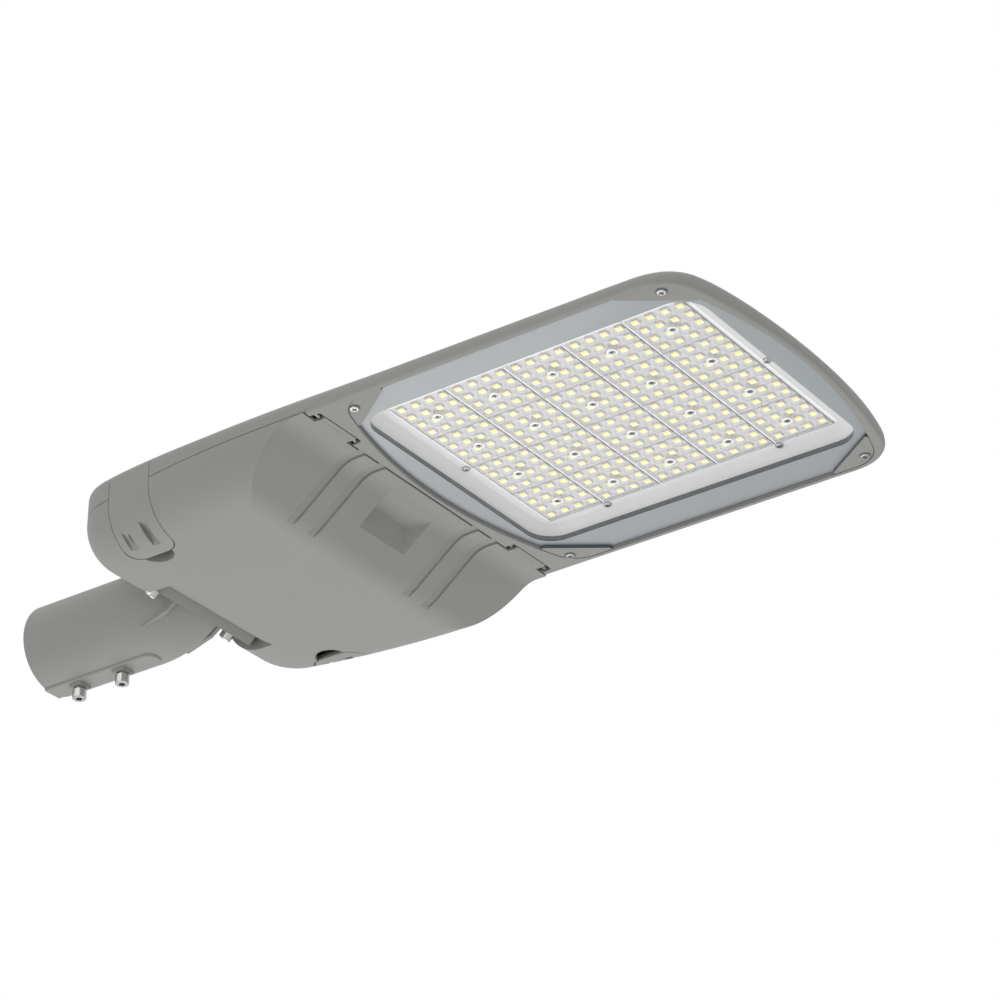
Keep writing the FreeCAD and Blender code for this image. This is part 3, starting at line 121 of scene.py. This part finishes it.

# Painted shadow ring round the screw of each corner clip
CLIP_SCREW_X = 129.3 * MM
CLIP_SCREW_Y = 133.8 * MM
CLIP_SHADOW_RING_R = (4.1 * MM, 4.5 * MM)
CLIP_SHADOW_RING_DEEP = 0.1 * MM

# Painted shade for the slots at the bottom of the finger dents in the latches
DENT_X = (183.5 * MM, 203.9 * MM)
DENT_SLOT = (121.0 * MM, -11.3 * MM)
DENT_LEAN = math.radians(32.5)
SLOT_X = (1.0 * MM, 3.0 * MM)
SLOT_HALF = 3.0 * MM

LIGHT_TARGET = (0.35, 0.0, 0.0)
LIGHT_SIZE = 2.4
FLOOR_Z = -3.0
FLOOR_SIZE = 24.0

PAINT = (0.343, 0.342, 0.329)


# Materials

def new_material(name, colour, roughness, metallic=0.0):
    mat = bpy.data.materials.new(name)
    mat.use_nodes = True
    shader = mat.node_tree.nodes["Principled BSDF"]
    shader.inputs["Base Color"].default_value = (*colour, 1.0)
    shader.inputs["Roughness"].default_value = roughness
    shader.inputs["Metallic"].default_value = metallic
    return mat, mat.node_tree, shader


def noise(tree, scale, detail=2.0, stretch=(1.0, 1.0, 1.0)):
    """Noise in the frame of the part, so that its grain has a real size."""
    place = tree.nodes.new("ShaderNodeTexCoord")
    mapping = tree.nodes.new("ShaderNodeMapping")
    mapping.inputs["Scale"].default_value = stretch
    tree.links.new(place.outputs["Object"], mapping.inputs["Vector"])
    out = tree.nodes.new("ShaderNodeTexNoise")
    out.inputs["Scale"].default_value = scale
    out.inputs["Detail"].default_value = detail
    tree.links.new(mapping.outputs["Vector"], out.inputs["Vector"])
    return out.outputs["Fac"]


def spread(tree, factor, low, high):
    """Map a noise factor to the range from low to high."""
    node = tree.nodes.new("ShaderNodeMapRange")
    node.inputs["From Min"].default_value = 0.3
    node.inputs["From Max"].default_value = 0.7
    node.inputs["To Min"].default_value = low
    node.inputs["To Max"].default_value = high
    tree.links.new(factor, node.inputs["Value"])
    return node.outputs["Result"]


def vary_colour(tree, shader, colour, factor, amount):
    ramp = tree.nodes.new("ShaderNodeMix")
    ramp.data_type = "RGBA"
    ramp.inputs[6].default_value = (*[c * (1.0 - amount) for c in colour], 1.0)
    ramp.inputs[7].default_value = (*[min(1.0, c * (1.0 + amount)) for c in colour], 1.0)
    tree.links.new(spread(tree, factor, 0.0, 1.0), ramp.inputs[0])
    tree.links.new(ramp.outputs[2], shader.inputs["Base Color"])


def relief(tree, shader, factor, height, strength=1.0, edge=0.0):
    """Surface grain, over an edge radius where one is given."""
    bump = tree.nodes.new("ShaderNodeBump")
    bump.inputs["Strength"].default_value = strength
    bump.inputs["Distance"].default_value = height
    tree.links.new(factor, bump.inputs["Height"])
    if edge > 0.0:
        bevel = tree.nodes.new("ShaderNodeBevel")
        bevel.samples = 4
        bevel.inputs["Radius"].default_value = edge
        tree.links.new(bevel.outputs["Normal"], bump.inputs["Normal"])
    tree.links.new(bump.outputs["Normal"], shader.inputs["Normal"])


def grey_paint():
    mat, tree, shader = new_material("grey_paint", PAINT, 0.7)
    shader.inputs["Specular IOR Level"].default_value = 0.25
    vary_colour(tree, shader, PAINT, noise(tree, 14.0, 3.0), 0.02)
    grain = noise(tree, 900.0)
    tree.links.new(spread(tree, grain, 0.58, 0.70), shader.inputs["Roughness"])
    relief(tree, shader, grain, 0.00004, 0.5, 0.0006)
    return mat


def steel(name, colour):
    mat, tree, shader = new_material(name, colour, 0.2, 1.0)
    turned = noise(tree, 1400.0, 2.0, (1.0, 1.0, 0.15))
    # Painted shade: the metal's colour darkens towards dark grey where its surface is seen edge-on
    facing = tree.nodes.new("ShaderNodeLayerWeight")
    facing.inputs["Blend"].default_value = 0.5
    tone = tree.nodes.new("ShaderNodeMix")
    tone.data_type = "RGBA"
    tone.inputs[6].default_value = (*colour, 1.0)
    tone.inputs[7].default_value = (0.16, 0.16, 0.165, 1.0)
    tree.links.new(facing.outputs["Facing"], tone.inputs[0])
    tree.links.new(tone.outputs[2], shader.inputs["Base Color"])
    tree.links.new(spread(tree, turned, 0.14, 0.26), shader.inputs["Roughness"])
    relief(tree, shader, turned, 0.00001, 0.4, 0.0002)
    return mat


def black_rubber():
    colour = (0.022, 0.022, 0.024)
    mat, tree, shader = new_material("black_rubber", colour, 0.7)
    grain = noise(tree, 700.0, 3.0)
    vary_colour(tree, shader, colour, grain, 0.15)
    relief(tree, shader, grain, 0.00004, 0.5)
    return mat


def dark_socket():
    # Near black, used as painted shade in the eyes of the lens sheets' screws and in the latch slots
    colour = (0.05, 0.05, 0.052)
    mat, tree, shader = new_material("dark_socket", colour, 0.5)
    vary_colour(tree, shader, colour, noise(tree, 900.0), 0.1)
    return mat


def white_plastic():
    colour = (0.88, 0.88, 0.88)
    mat, tree, shader = new_material("white_plastic", colour, 0.35)
    grain = noise(tree, 500.0)
    vary_colour(tree, shader, colour, noise(tree, 25.0), 0.01)
    relief(tree, shader, grain, 0.00002, 0.3, 0.0004)
    return mat


def board_white():
    colour = (0.88, 0.88, 0.88)
    mat, tree, shader = new_material("board_white", colour, 0.45)
    vary_colour(tree, shader, colour, noise(tree, 160.0, 3.0), 0.04)
    relief(tree, shader, noise(tree, 600.0), 0.00002, 0.3)
    return mat


def galvanised_steel():
    colour = (0.56, 0.57, 0.58)
    mat, tree, shader = new_material("galvanised_steel", colour, 0.35, 1.0)
    cells = tree.nodes.new("ShaderNodeTexVoronoi")
    cells.inputs["Scale"].default_value = 110.0
    place = tree.nodes.new("ShaderNodeTexCoord")
    tree.links.new(place.outputs["Object"], cells.inputs["Vector"])
    vary_colour(tree, shader, colour, cells.outputs["Distance"], 0.1)
    tree.links.new(spread(tree, cells.outputs["Distance"], 0.28, 0.45), shader.inputs["Roughness"])
    return mat


def driver_case():
    colour = (0.60, 0.60, 0.60)
    mat, tree, shader = new_material("driver_case", colour, 0.4, 0.9)
    brushed = noise(tree, 400.0, 3.0, (1.0, 0.03, 1.0))
    vary_colour(tree, shader, colour, brushed, 0.06)
    tree.links.new(spread(tree, brushed, 0.3, 0.5), shader.inputs["Roughness"])
    relief(tree, shader, brushed, 0.00002, 0.3, 0.0004)
    return mat


def black_plastic():
    colour = (0.035, 0.035, 0.037)
    mat, tree, shader = new_material("black_plastic", colour, 0.45)
    grain = noise(tree, 1100.0, 2.0)
    vary_colour(tree, shader, colour, grain, 0.12)
    relief(tree, shader, grain, 0.00004, 0.5, 0.0003)
    return mat


def printed_glass():
    """Border of the pane: blue-grey enamel behind smooth glass."""
    colour = (0.38, 0.411, 0.424)
    mat, tree, shader = new_material("printed_glass", colour, 0.28)
    vary_colour(tree, shader, colour, noise(tree, 18.0, 2.0), 0.012)
    relief(tree, shader, noise(tree, 1500.0), 0.000006, 0.3)
    shader.inputs["Coat Weight"].default_value = 0.25
    shader.inputs["Coat Roughness"].default_value = 0.05
    return mat


def see_through(name, colour, roughness, edge_on, power):
    """Clear sheet: see-through face on, with some gloss and tint edge on."""
    mat, tree, shader = new_material(name, colour, roughness)
    clear = tree.nodes.new("ShaderNodeBsdfTransparent")
    mix = tree.nodes.new("ShaderNodeMixShader")
    facing = tree.nodes.new("ShaderNodeLayerWeight")
    facing.inputs["Blend"].default_value = power
    amount = tree.nodes.new("ShaderNodeMapRange")
    amount.inputs["To Max"].default_value = edge_on
    # Light passes freely, so that what lies behind the sheet isn't shaded by it
    path = tree.nodes.new("ShaderNodeLightPath")
    seen = tree.nodes.new("ShaderNodeMath")
    seen.operation = "MULTIPLY"
    tree.links.new(facing.outputs["Facing"], amount.inputs["Value"])
    tree.links.new(amount.outputs["Result"], seen.inputs[0])
    tree.links.new(path.outputs["Is Camera Ray"], seen.inputs[1])
    tree.links.new(seen.outputs["Value"], mix.inputs["Fac"])
    tree.links.new(clear.outputs["BSDF"], mix.inputs[1])
    tree.links.new(shader.outputs["BSDF"], mix.inputs[2])
    tree.links.new(mix.outputs["Shader"], tree.nodes["Material Output"].inputs["Surface"])
    return mat


def glass_edge():
    """Painted shade, dark blue-grey: the cut edge of the printed border, seen through the thickness of the
    pane, in shade, and also the side faces of the corner clips and the rings round their screws.
    """
    colour = (0.105, 0.118, 0.127)
    mat, tree, shader = new_material("glass_edge", colour, 0.2)
    vary_colour(tree, shader, colour, noise(tree, 60.0), 0.05)
    return mat


def lens_rim():
    colour = (0.96, 0.96, 0.96)
    mat, tree, shader = new_material("lens_rim", colour, 0.3)
    # Painted highlight: white that glows of its own, for lit edges, screw rings and board strips
    shader.inputs["Emission Color"].default_value = (1.0, 1.0, 1.0, 1.0)
    shader.inputs["Emission Strength"].default_value = 0.3
    vary_colour(tree, shader, colour, noise(tree, 300.0), 0.02)
    return mat


def lens_edge():
    # Painted shade: near black, for the shaded gaps at the front and left edges of the sheets
    colour = (0.05, 0.05, 0.05)
    mat, tree, shader = new_material("lens_edge", colour, 0.3)
    vary_colour(tree, shader, colour, noise(tree, 200.0), 0.1)
    return mat


def phosphor(name, colour):
    mat, tree, shader = new_material(name, colour, 0.4)
    # Painted glow: the unlit chip's phosphor gives off light of its own
    shader.inputs["Emission Color"].default_value = (*colour, 1.0)
    shader.inputs["Emission Strength"].default_value = 0.35
    vary_colour(tree, shader, colour, noise(tree, 900.0), 0.02)
    return mat


def chip_case():
    colour = (0.90, 0.90, 0.88)
    mat, tree, shader = new_material("chip_case", colour, 0.4)
    vary_colour(tree, shader, colour, noise(tree, 700.0), 0.02)
    return mat


def gold_pad():
    colour = (1.0, 0.72, 0.35)
    mat, tree, shader = new_material("gold_pad", colour, 0.45)
    vary_colour(tree, shader, colour, noise(tree, 1200.0), 0.06)
    return mat


def floor_paint():
    colour = (0.82, 0.82, 0.82)
    mat, tree, shader = new_material("floor_paint", colour, 0.8)
    vary_colour(tree, shader, colour, noise(tree, 3.0), 0.01)
    return mat


# Pieces

def add_piece(name, mesh, body, *materials):
    obj = bpy.data.objects.new(name, mesh)
    bpy.context.scene.collection.objects.link(obj)
    for mat in materials:
        mesh.materials.append(mat)
    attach(obj, body)
    return obj


def rounded_rectangle(half_x, half_y, radius, steps):
    points = []
    for quarter, (sx, sy) in enumerate(((1, 1), (-1, 1), (-1, -1), (1, -1))):
        for k in range(steps + 1):
            a = math.radians(90.0 * (quarter + k / steps))
            x = sx * (half_x - radius) + radius * math.cos(a)
            y = sy * (half_y - radius) + radius * math.sin(a)
            points.append((x, y))
    return points


def prism_mesh(name, outline, z0, z1):
    mesh = bpy.data.meshes.new(name)
    bm = bmesh.new()
    low = [bm.verts.new((x, y, z0)) for x, y in outline]
    high = [bm.verts.new((x, y, z1)) for x, y in outline]
    bm.faces.new(list(reversed(low)))
    bm.faces.new(high)
    for i in range(len(outline)):
        j = (i + 1) % len(outline)
        bm.faces.new((low[i], low[j], high[j], high[i]))
    bm.to_mesh(mesh)
    bm.free()
    return mesh


def glass(materials):
    """Pane with a printed border, open over the clear window, and the window itself."""
    low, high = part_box("glass_pane")
    tray_low, tray_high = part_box("reflector_tray")
    cx = (tray_low.x + tray_high.x) / 2
    outline = [(cx + x, y) for x, y in rounded_rectangle(WINDOW_HALF_X, WINDOW_HALF_Y, WINDOW_CORNER_R, 12)]
    cutter = bpy.data.objects.new("window_cut", prism_mesh("window_cut", outline, low.z - MM, high.z + MM))
    bpy.context.scene.collection.objects.link(cutter)
    border = bpy.data.objects.new("glass_border", frame["nodes"]["glass_pane"].data.copy())
    bpy.context.scene.collection.objects.link(border)
    cut = border.modifiers.new("window", "BOOLEAN")
    cut.object = cutter
    cut.operation = "DIFFERENCE"
    cut.solver = "EXACT"
    bpy.context.view_layer.update()
    mesh = bpy.data.meshes.new_from_object(border.evaluated_get(bpy.context.evaluated_depsgraph_get()))
    bpy.data.objects.remove(border)
    bpy.data.objects.remove(cutter)
    mesh.materials.clear()
    # The border's cut wall round the window takes the painted shade
    for face in mesh.polygons:
        on_window = max(abs(face.center.x - cx) - WINDOW_HALF_X, abs(face.center.y) - WINDOW_HALF_Y) < MM / 2
        face.material_index = 1 if on_window and abs(face.normal.z) < 0.5 else 0
    border = add_piece("glass_border", mesh, "head", materials["printed_glass"], materials["glass_edge"])
    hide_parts("glass_pane")
    window_low = low.z + WINDOW_IN
    pane = prism_mesh("glass_window", outline, window_low, window_low + WINDOW_T)
    window = add_piece("glass_window", pane, "head", materials["clear_glass"])


def rectangle(x0, x1, y0, y1):
    return [(x0, y0), (x1, y0), (x1, y1), (x0, y1)]


def circle(radius, steps):
    return [(radius * math.cos(2 * math.pi * k / steps), radius * math.sin(2 * math.pi * k / steps))
            for k in range(steps)]


def add_block(bm, outline, cx, cy, z0, z1, slot_index):
    low = [bm.verts.new((cx + x, cy + y, z0)) for x, y in outline]
    high = [bm.verts.new((cx + x, cy + y, z1)) for x, y in outline]
    bm.faces.new(list(reversed(low))).material_index = slot_index
    bm.faces.new(high).material_index = slot_index
    for i in range(len(outline)):
        j = (i + 1) % len(outline)
        bm.faces.new((low[i], low[j], high[j], high[i])).material_index = slot_index


def add_washer(bm, radii, cx, cy, z0, z1, slot_index, steps=24):
    loops = [[bm.verts.new((cx + x, cy + y, z)) for x, y in circle(r, steps)]
             for r, z in ((radii[0], z0), (radii[1], z0), (radii[1], z1), (radii[0], z1))]
    for a, b in zip(loops, loops[1:] + loops[:1]):
        for i in range(steps):
            j = (i + 1) % steps
            bm.faces.new((a[j], a[i], b[i], b[j])).material_index = slot_index


def lens_mesh():
    """One lens sheet: the face of a square plate, with strips along its edges, a painted highlight at the
    rear and painted shade at the front and left, and domes on it.
    """
    low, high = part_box("lens_module_1_1")
    half = (high.x - low.x) / 2
    plate_low = low.z + DOME_H
    mesh = bpy.data.meshes.new("lens_sheet")
    bm = bmesh.new()
    plate = [bm.verts.new((x, y, plate_low)) for x, y in reversed(rectangle(-half, half, -half, half))]
    bm.faces.new(plate)
    rear_highlight = rectangle(-half, REAR_HIGHLIGHT_WIDTH - half, -half, half)
    front_shade = rectangle(half - FRONT_SHADE_WIDTH, half, -half, half)
    side_shade = rectangle(-half, half, half - SIDE_SHADE_WIDTH, half)
    skin = plate_low - SKIN
    # Painted highlight along the rear edge
    add_block(bm, rear_highlight, 0.0, 0.0, skin, plate_low, 1)
    # Painted shade along the front and left edges
    add_block(bm, front_shade, 0.0, 0.0, skin, plate_low, 2)
    add_block(bm, side_shade, 0.0, 0.0, skin - SIDE_SHADE_PROUD, plate_low, 2)
    for i in range(LENSES):
        for j in range(LENSES):
            cx = (i - (LENSES - 1) / 2) * LENS_PITCH
            cy = (j - (LENSES - 1) / 2) * LENS_PITCH
            add_dome(bm, cx, cy, plate_low)
    bm.to_mesh(mesh)
    bm.free()
    return mesh


def add_dome(bm, cx, cy, z):
    """Full-bodied dome that hangs from the plate."""
    rings = []
    for k in range(DOME_RINGS):
        a = math.radians(90.0 * k / DOME_RINGS)
        r = DOME_R * math.cos(a) ** (2 / DOME_SHAPE)
        h = DOME_H * math.sin(a) ** (2 / DOME_SHAPE)
        ring = []
        for s in range(DOME_SEGMENTS):
            b = 2 * math.pi * s / DOME_SEGMENTS
            ring.append(bm.verts.new((cx + r * math.cos(b), cy + r * math.sin(b), z - h)))
        rings.append(ring)
    tip = bm.verts.new((cx, cy, z - DOME_H))
    for a, b in zip(rings, rings[1:]):
        for s in range(DOME_SEGMENTS):
            t = (s + 1) % DOME_SEGMENTS
            bm.faces.new((a[t], a[s], b[s], b[t])).smooth = True
    for s in range(DOME_SEGMENTS):
        t = (s + 1) % DOME_SEGMENTS
        bm.faces.new((rings[-1][t], rings[-1][s], tip)).smooth = True


def lenses(materials):
    mesh = lens_mesh()
    for name in ("clear_lens", "lens_rim", "lens_edge"):
        mesh.materials.append(materials[name])
    for i in range(1, COLUMNS + 1):
        for j in range(1, ROWS + 1):
            node = f"lens_module_{i}_{j}"
            low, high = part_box(node)
            obj = bpy.data.objects.new(f"lens_sheet_{i}_{j}", mesh)
            bpy.context.scene.collection.objects.link(obj)
            obj.location = ((low.x + high.x) / 2, (low.y + high.y) / 2, 0.0)
            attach(obj, "head")
            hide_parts(node)


# Slots of the chips' piece: EYE_SHADE is painted shade, GLOW a glowing painted highlight
CASE, STRONG, PALE, PAD, EYE_SHADE, GLOW = range(6)


def add_screw(bm, cx, cy, face, board):
    """What is seen of a lens sheet's screw: its eye in painted shade, a bright ring with a painted glow and
    the sleeve up to the board.
    """
    # The eye is painted shade set off the screw's centre; the ring glows as a painted highlight
    add_block(bm, circle(EYE_R, EYE_SEGMENTS), cx, cy - EYE_OFF, face - EYE_PROUD, face + EYE_DEEP, EYE_SHADE)
    add_washer(bm, GLOW_RING_R, cx, cy, face - GLOW_RING_PROUD, face + GLOW_RING_DEEP, GLOW)
    add_washer(bm, SLEEVE_R, cx, cy, face + GLOW_RING_DEEP, board, CASE)


def add_chip(bm, cx, cy, board):
    hx = CHIP_X / 2
    hy = CHIP_Y / 2
    front = board - CHIP_T
    strong = rectangle(-hx + CHIP_FRAME, hx - CHIP_FRAME, -hy + CHIP_FRAME, CHIP_SPLIT)
    pale = rectangle(-hx + CHIP_FRAME, hx - CHIP_FRAME, CHIP_SPLIT, hy - 2 * CHIP_FRAME)
    pad = rectangle(-PAD_X / 2, PAD_X / 2, -PAD_Y / 2, PAD_Y / 2)
    add_block(bm, rectangle(-hx, hx, -hy, hy), cx, cy, front, board, CASE)
    add_block(bm, strong, cx, cy, front - PHOSPHOR_T, front, STRONG)
    add_block(bm, pale, cx, cy, front - PHOSPHOR_T, front, PALE)
    for side in (-1, 1):
        add_block(bm, pad, cx + side * PAD_X, cy - PAD_AWAY, board - PAD_T, board, PAD)


def add_board_strips(bm):
    """White strips of board beyond the sheets, at the front and at the right-hand side, brightened with a
    painted glow.
    """
    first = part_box("lens_module_1_1")[0]
    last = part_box(f"lens_module_{COLUMNS}_{ROWS}")[1]
    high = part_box("reflector_tray")[1].z - STRIP_BELOW_TRAY
    at_front = rectangle(last.x + STRIP_GAP, last.x + STRIP_TO_FRONT, first.y, last.y)
    at_side = rectangle(first.x, last.x, first.y - STRIP_TO_SIDE, first.y - STRIP_GAP)
    for outline in (at_front, at_side):
        # The strips glow as painted highlights
        add_block(bm, outline, 0.0, 0.0, high - STRIP_T, high, GLOW)


def led_chips(materials):
    """Chips on the board, one under each lens, with the screws of the lens sheets and the board's strips."""
    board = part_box("led_board")[0].z
    screw_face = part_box("module_screws")[0].z
    mesh = bpy.data.meshes.new("led_chips")
    bm = bmesh.new()
    for i in range(1, COLUMNS + 1):
        for j in range(1, ROWS + 1):
            low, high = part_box(f"lens_module_{i}_{j}")
            mx = (low.x + high.x) / 2
            my = (low.y + high.y) / 2
            add_screw(bm, mx, my, screw_face, board)
            for a in range(LENSES):
                for b in range(LENSES):
                    cx = mx + (a - (LENSES - 1) / 2) * LENS_PITCH
                    cy = my + (b - (LENSES - 1) / 2) * LENS_PITCH
                    add_chip(bm, cx, cy, board)
    add_board_strips(bm)
    bm.to_mesh(mesh)
    bm.free()
    obj = add_piece("led_chips", mesh, "head", materials["chip_case"], materials["phosphor"],
                    materials["phosphor_pale"], materials["gold_pad"], materials["dark_socket"],
                    materials["lens_rim"])


def clip_painted_shade(materials):
    """Painted shade on the cut edges of the corner clips, standing partly for a dark gasket under them, and
    painted shadow rings round their screws.
    """
    low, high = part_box("reflector_tray")
    cx = (low.x + high.x) / 2
    face_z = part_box("clip_front_left")[0].z
    mesh = bpy.data.meshes.new("clip_rings")
    bm = bmesh.new()
    for sx in (-1, 1):
        for sy in (-1, 1):
            # Painted shadow rings round the clip screws
            add_washer(bm, CLIP_SHADOW_RING_R, cx + sx * CLIP_SCREW_X, sy * CLIP_SCREW_Y, face_z - SKIN,
                       face_z + CLIP_SHADOW_RING_DEEP, 0)
    bm.to_mesh(mesh)
    bm.free()
    rings = add_piece("clip_rings", mesh, "head", materials["glass_edge"])
    for name, node in frame["nodes"].items():
        if name.startswith("clip_") and name != "clip_screws":
            node.data.materials.append(materials["glass_edge"])
            # The clips' side faces get painted shade
            for face in node.data.polygons:
                if abs(face.normal.z) < 0.5:
                    face.material_index = 1


def latch_slot_shades(materials):
    """Painted shade standing for the dark through slots at the bottom of the finger dents."""
    y, z = DENT_SLOT
    along = Vector((0.0, math.cos(DENT_LEAN), math.sin(DENT_LEAN))) * SLOT_HALF
    for name, side in (("latch_left", 1.0), ("latch_right", -1.0)):
        mesh = bpy.data.meshes.new(name + "_slots")
        bm = bmesh.new()
        for x in DENT_X:
            corners = []
            for dx, k in ((SLOT_X[0], -1), (SLOT_X[1], -1), (SLOT_X[1], 1), (SLOT_X[0], 1)):
                corners.append(bm.verts.new((x + dx, side * (y + k * along.y), z + k * along.z)))
            bm.faces.new(corners)
        bm.to_mesh(mesh)
        bm.free()
        body = next(b for b, nodes in frame["record"]["behaviour"]["bodies"].items() if name in nodes)
        # The slots are near black painted shade
        slots = add_piece(name + "_slots", mesh, body, materials["dark_socket"])


# Stage

def floor(materials):
    mesh = bpy.data.meshes.new("floor")
    bm = bmesh.new()
    bmesh.ops.create_grid(bm, x_segments=1, y_segments=1, size=FLOOR_SIZE / 2)
    bm.to_mesh(mesh)
    bm.free()
    obj = bpy.data.objects.new("floor", mesh)
    bpy.context.scene.collection.objects.link(obj)
    obj.location = (0.0, 0.0, FLOOR_Z)
    mesh.materials.append(materials["floor_paint"])


def area_light(name, place, watts):
    data = bpy.data.lights.new(name, "AREA")
    data.shape = "DISK"
    data.size = LIGHT_SIZE
    data.energy = watts
    obj = bpy.data.objects.new(name, data)
    bpy.context.scene.collection.objects.link(obj)
    obj.location = place
    obj.rotation_mode = "QUATERNION"
    obj.rotation_quaternion = (Vector(LIGHT_TARGET) - Vector(place)).to_track_quat("-Z", "Y")
    obj.visible_camera = False


def world(light, back):
    """Even light from all round, with a white background where the world is seen."""
    scene_world = bpy.data.worlds.new("studio")
    bpy.context.scene.world = scene_world
    scene_world.use_nodes = True
    tree = scene_world.node_tree
    lit = tree.nodes["Background"]
    lit.inputs["Color"].default_value = (1.0, 1.0, 1.0, 1.0)
    lit.inputs["Strength"].default_value = light
    seen = tree.nodes.new("ShaderNodeBackground")
    seen.inputs["Color"].default_value = (1.0, 1.0, 1.0, 1.0)
    seen.inputs["Strength"].default_value = back
    path = tree.nodes.new("ShaderNodeLightPath")
    either = tree.nodes.new("ShaderNodeMath")
    either.operation = "MAXIMUM"
    any_ray = tree.nodes.new("ShaderNodeMath")
    any_ray.operation = "MAXIMUM"
    mix = tree.nodes.new("ShaderNodeMixShader")
    tree.links.new(path.outputs["Is Camera Ray"], either.inputs[0])
    tree.links.new(path.outputs["Is Glossy Ray"], either.inputs[1])
    tree.links.new(either.outputs[0], any_ray.inputs[0])
    tree.links.new(path.outputs["Is Transmission Ray"], any_ray.inputs[1])
    tree.links.new(any_ray.outputs[0], mix.inputs["Fac"])
    tree.links.new(lit.outputs["Background"], mix.inputs[1])
    tree.links.new(seen.outputs["Background"], mix.inputs[2])
    tree.links.new(mix.outputs["Shader"], tree.nodes["World Output"].inputs["Surface"])


def camera():
    data = bpy.data.cameras.new("camera")
    data.lens = LENS_MM
    data.sensor_width = SENSOR_MM
    data.clip_start = 0.05
    data.clip_end = 100.0
    obj = bpy.data.objects.new("camera", data)
    bpy.context.scene.collection.objects.link(obj)
    a = math.radians(CAMERA_AZIMUTH)
    e = math.radians(CAMERA_ELEVATION)
    back = Vector((math.sin(a) * math.cos(e), -math.cos(a) * math.cos(e), math.sin(e)))
    obj.location = CAMERA_PLACE
    obj.rotation_mode = "QUATERNION"
    obj.rotation_quaternion = (-back).to_track_quat("-Z", "Y")
    bpy.context.scene.camera = obj


made = (
    grey_paint(),
    steel("bright_steel", (0.82, 0.82, 0.81)),
    steel("grey_steel", (0.42, 0.42, 0.42)),
    steel("mid_steel", (0.68, 0.68, 0.68)),
    galvanised_steel(),
    driver_case(),
    black_rubber(),
    black_plastic(),
    white_plastic(),
    board_white(),
    printed_glass(),
    glass_edge(),
    lens_rim(),
    lens_edge(),
    dark_socket(),
    phosphor("phosphor", (1.0, 0.90, 0.33)),
    phosphor("phosphor_pale", (1.0, 0.96, 0.62)),
    chip_case(),
    gold_pad(),
    floor_paint(),
    see_through("clear_glass", (0.75, 0.78, 0.79), 0.08, 0.1, 0.35),
    see_through("clear_lens", (0.34, 0.34, 0.35), 0.2, 0.42, 0.2),
)
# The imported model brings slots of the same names, so Blender adds a number to some of these
materials = {mat.name.split(".")[0]: mat for mat in made}

for part in frame["record"]["subparts"]:
    node = frame["nodes"][part["node"]]
    if part["material_slot"] in materials:
        node.data.materials.clear()
        node.data.materials.append(materials[part["material_slot"]])

for name, tone in (("tray_screws", "mid_steel"), ("clip_screws", "mid_steel"),
                   ("hinge_pin_left", "grey_steel"), ("hinge_pin_right", "grey_steel")):
    frame["nodes"][name].data.materials[0] = materials[tone]

glass(materials)
lenses(materials)
led_chips(materials)
clip_painted_shade(materials)
latch_slot_shades(materials)

floor(materials)
bpy.context.scene.cycles.transparent_max_bounces = 32
world(0.64, 1.0)
area_light("key", (-0.95, 0.9, -2.03), 27.0)
area_light("side", (0.35, -2.6, -0.4), 8.0)
area_light("top", (0.3, 0.4, 2.6), 12.0)
camera()
bpy.context.scene.view_settings.view_transform = "Standard"
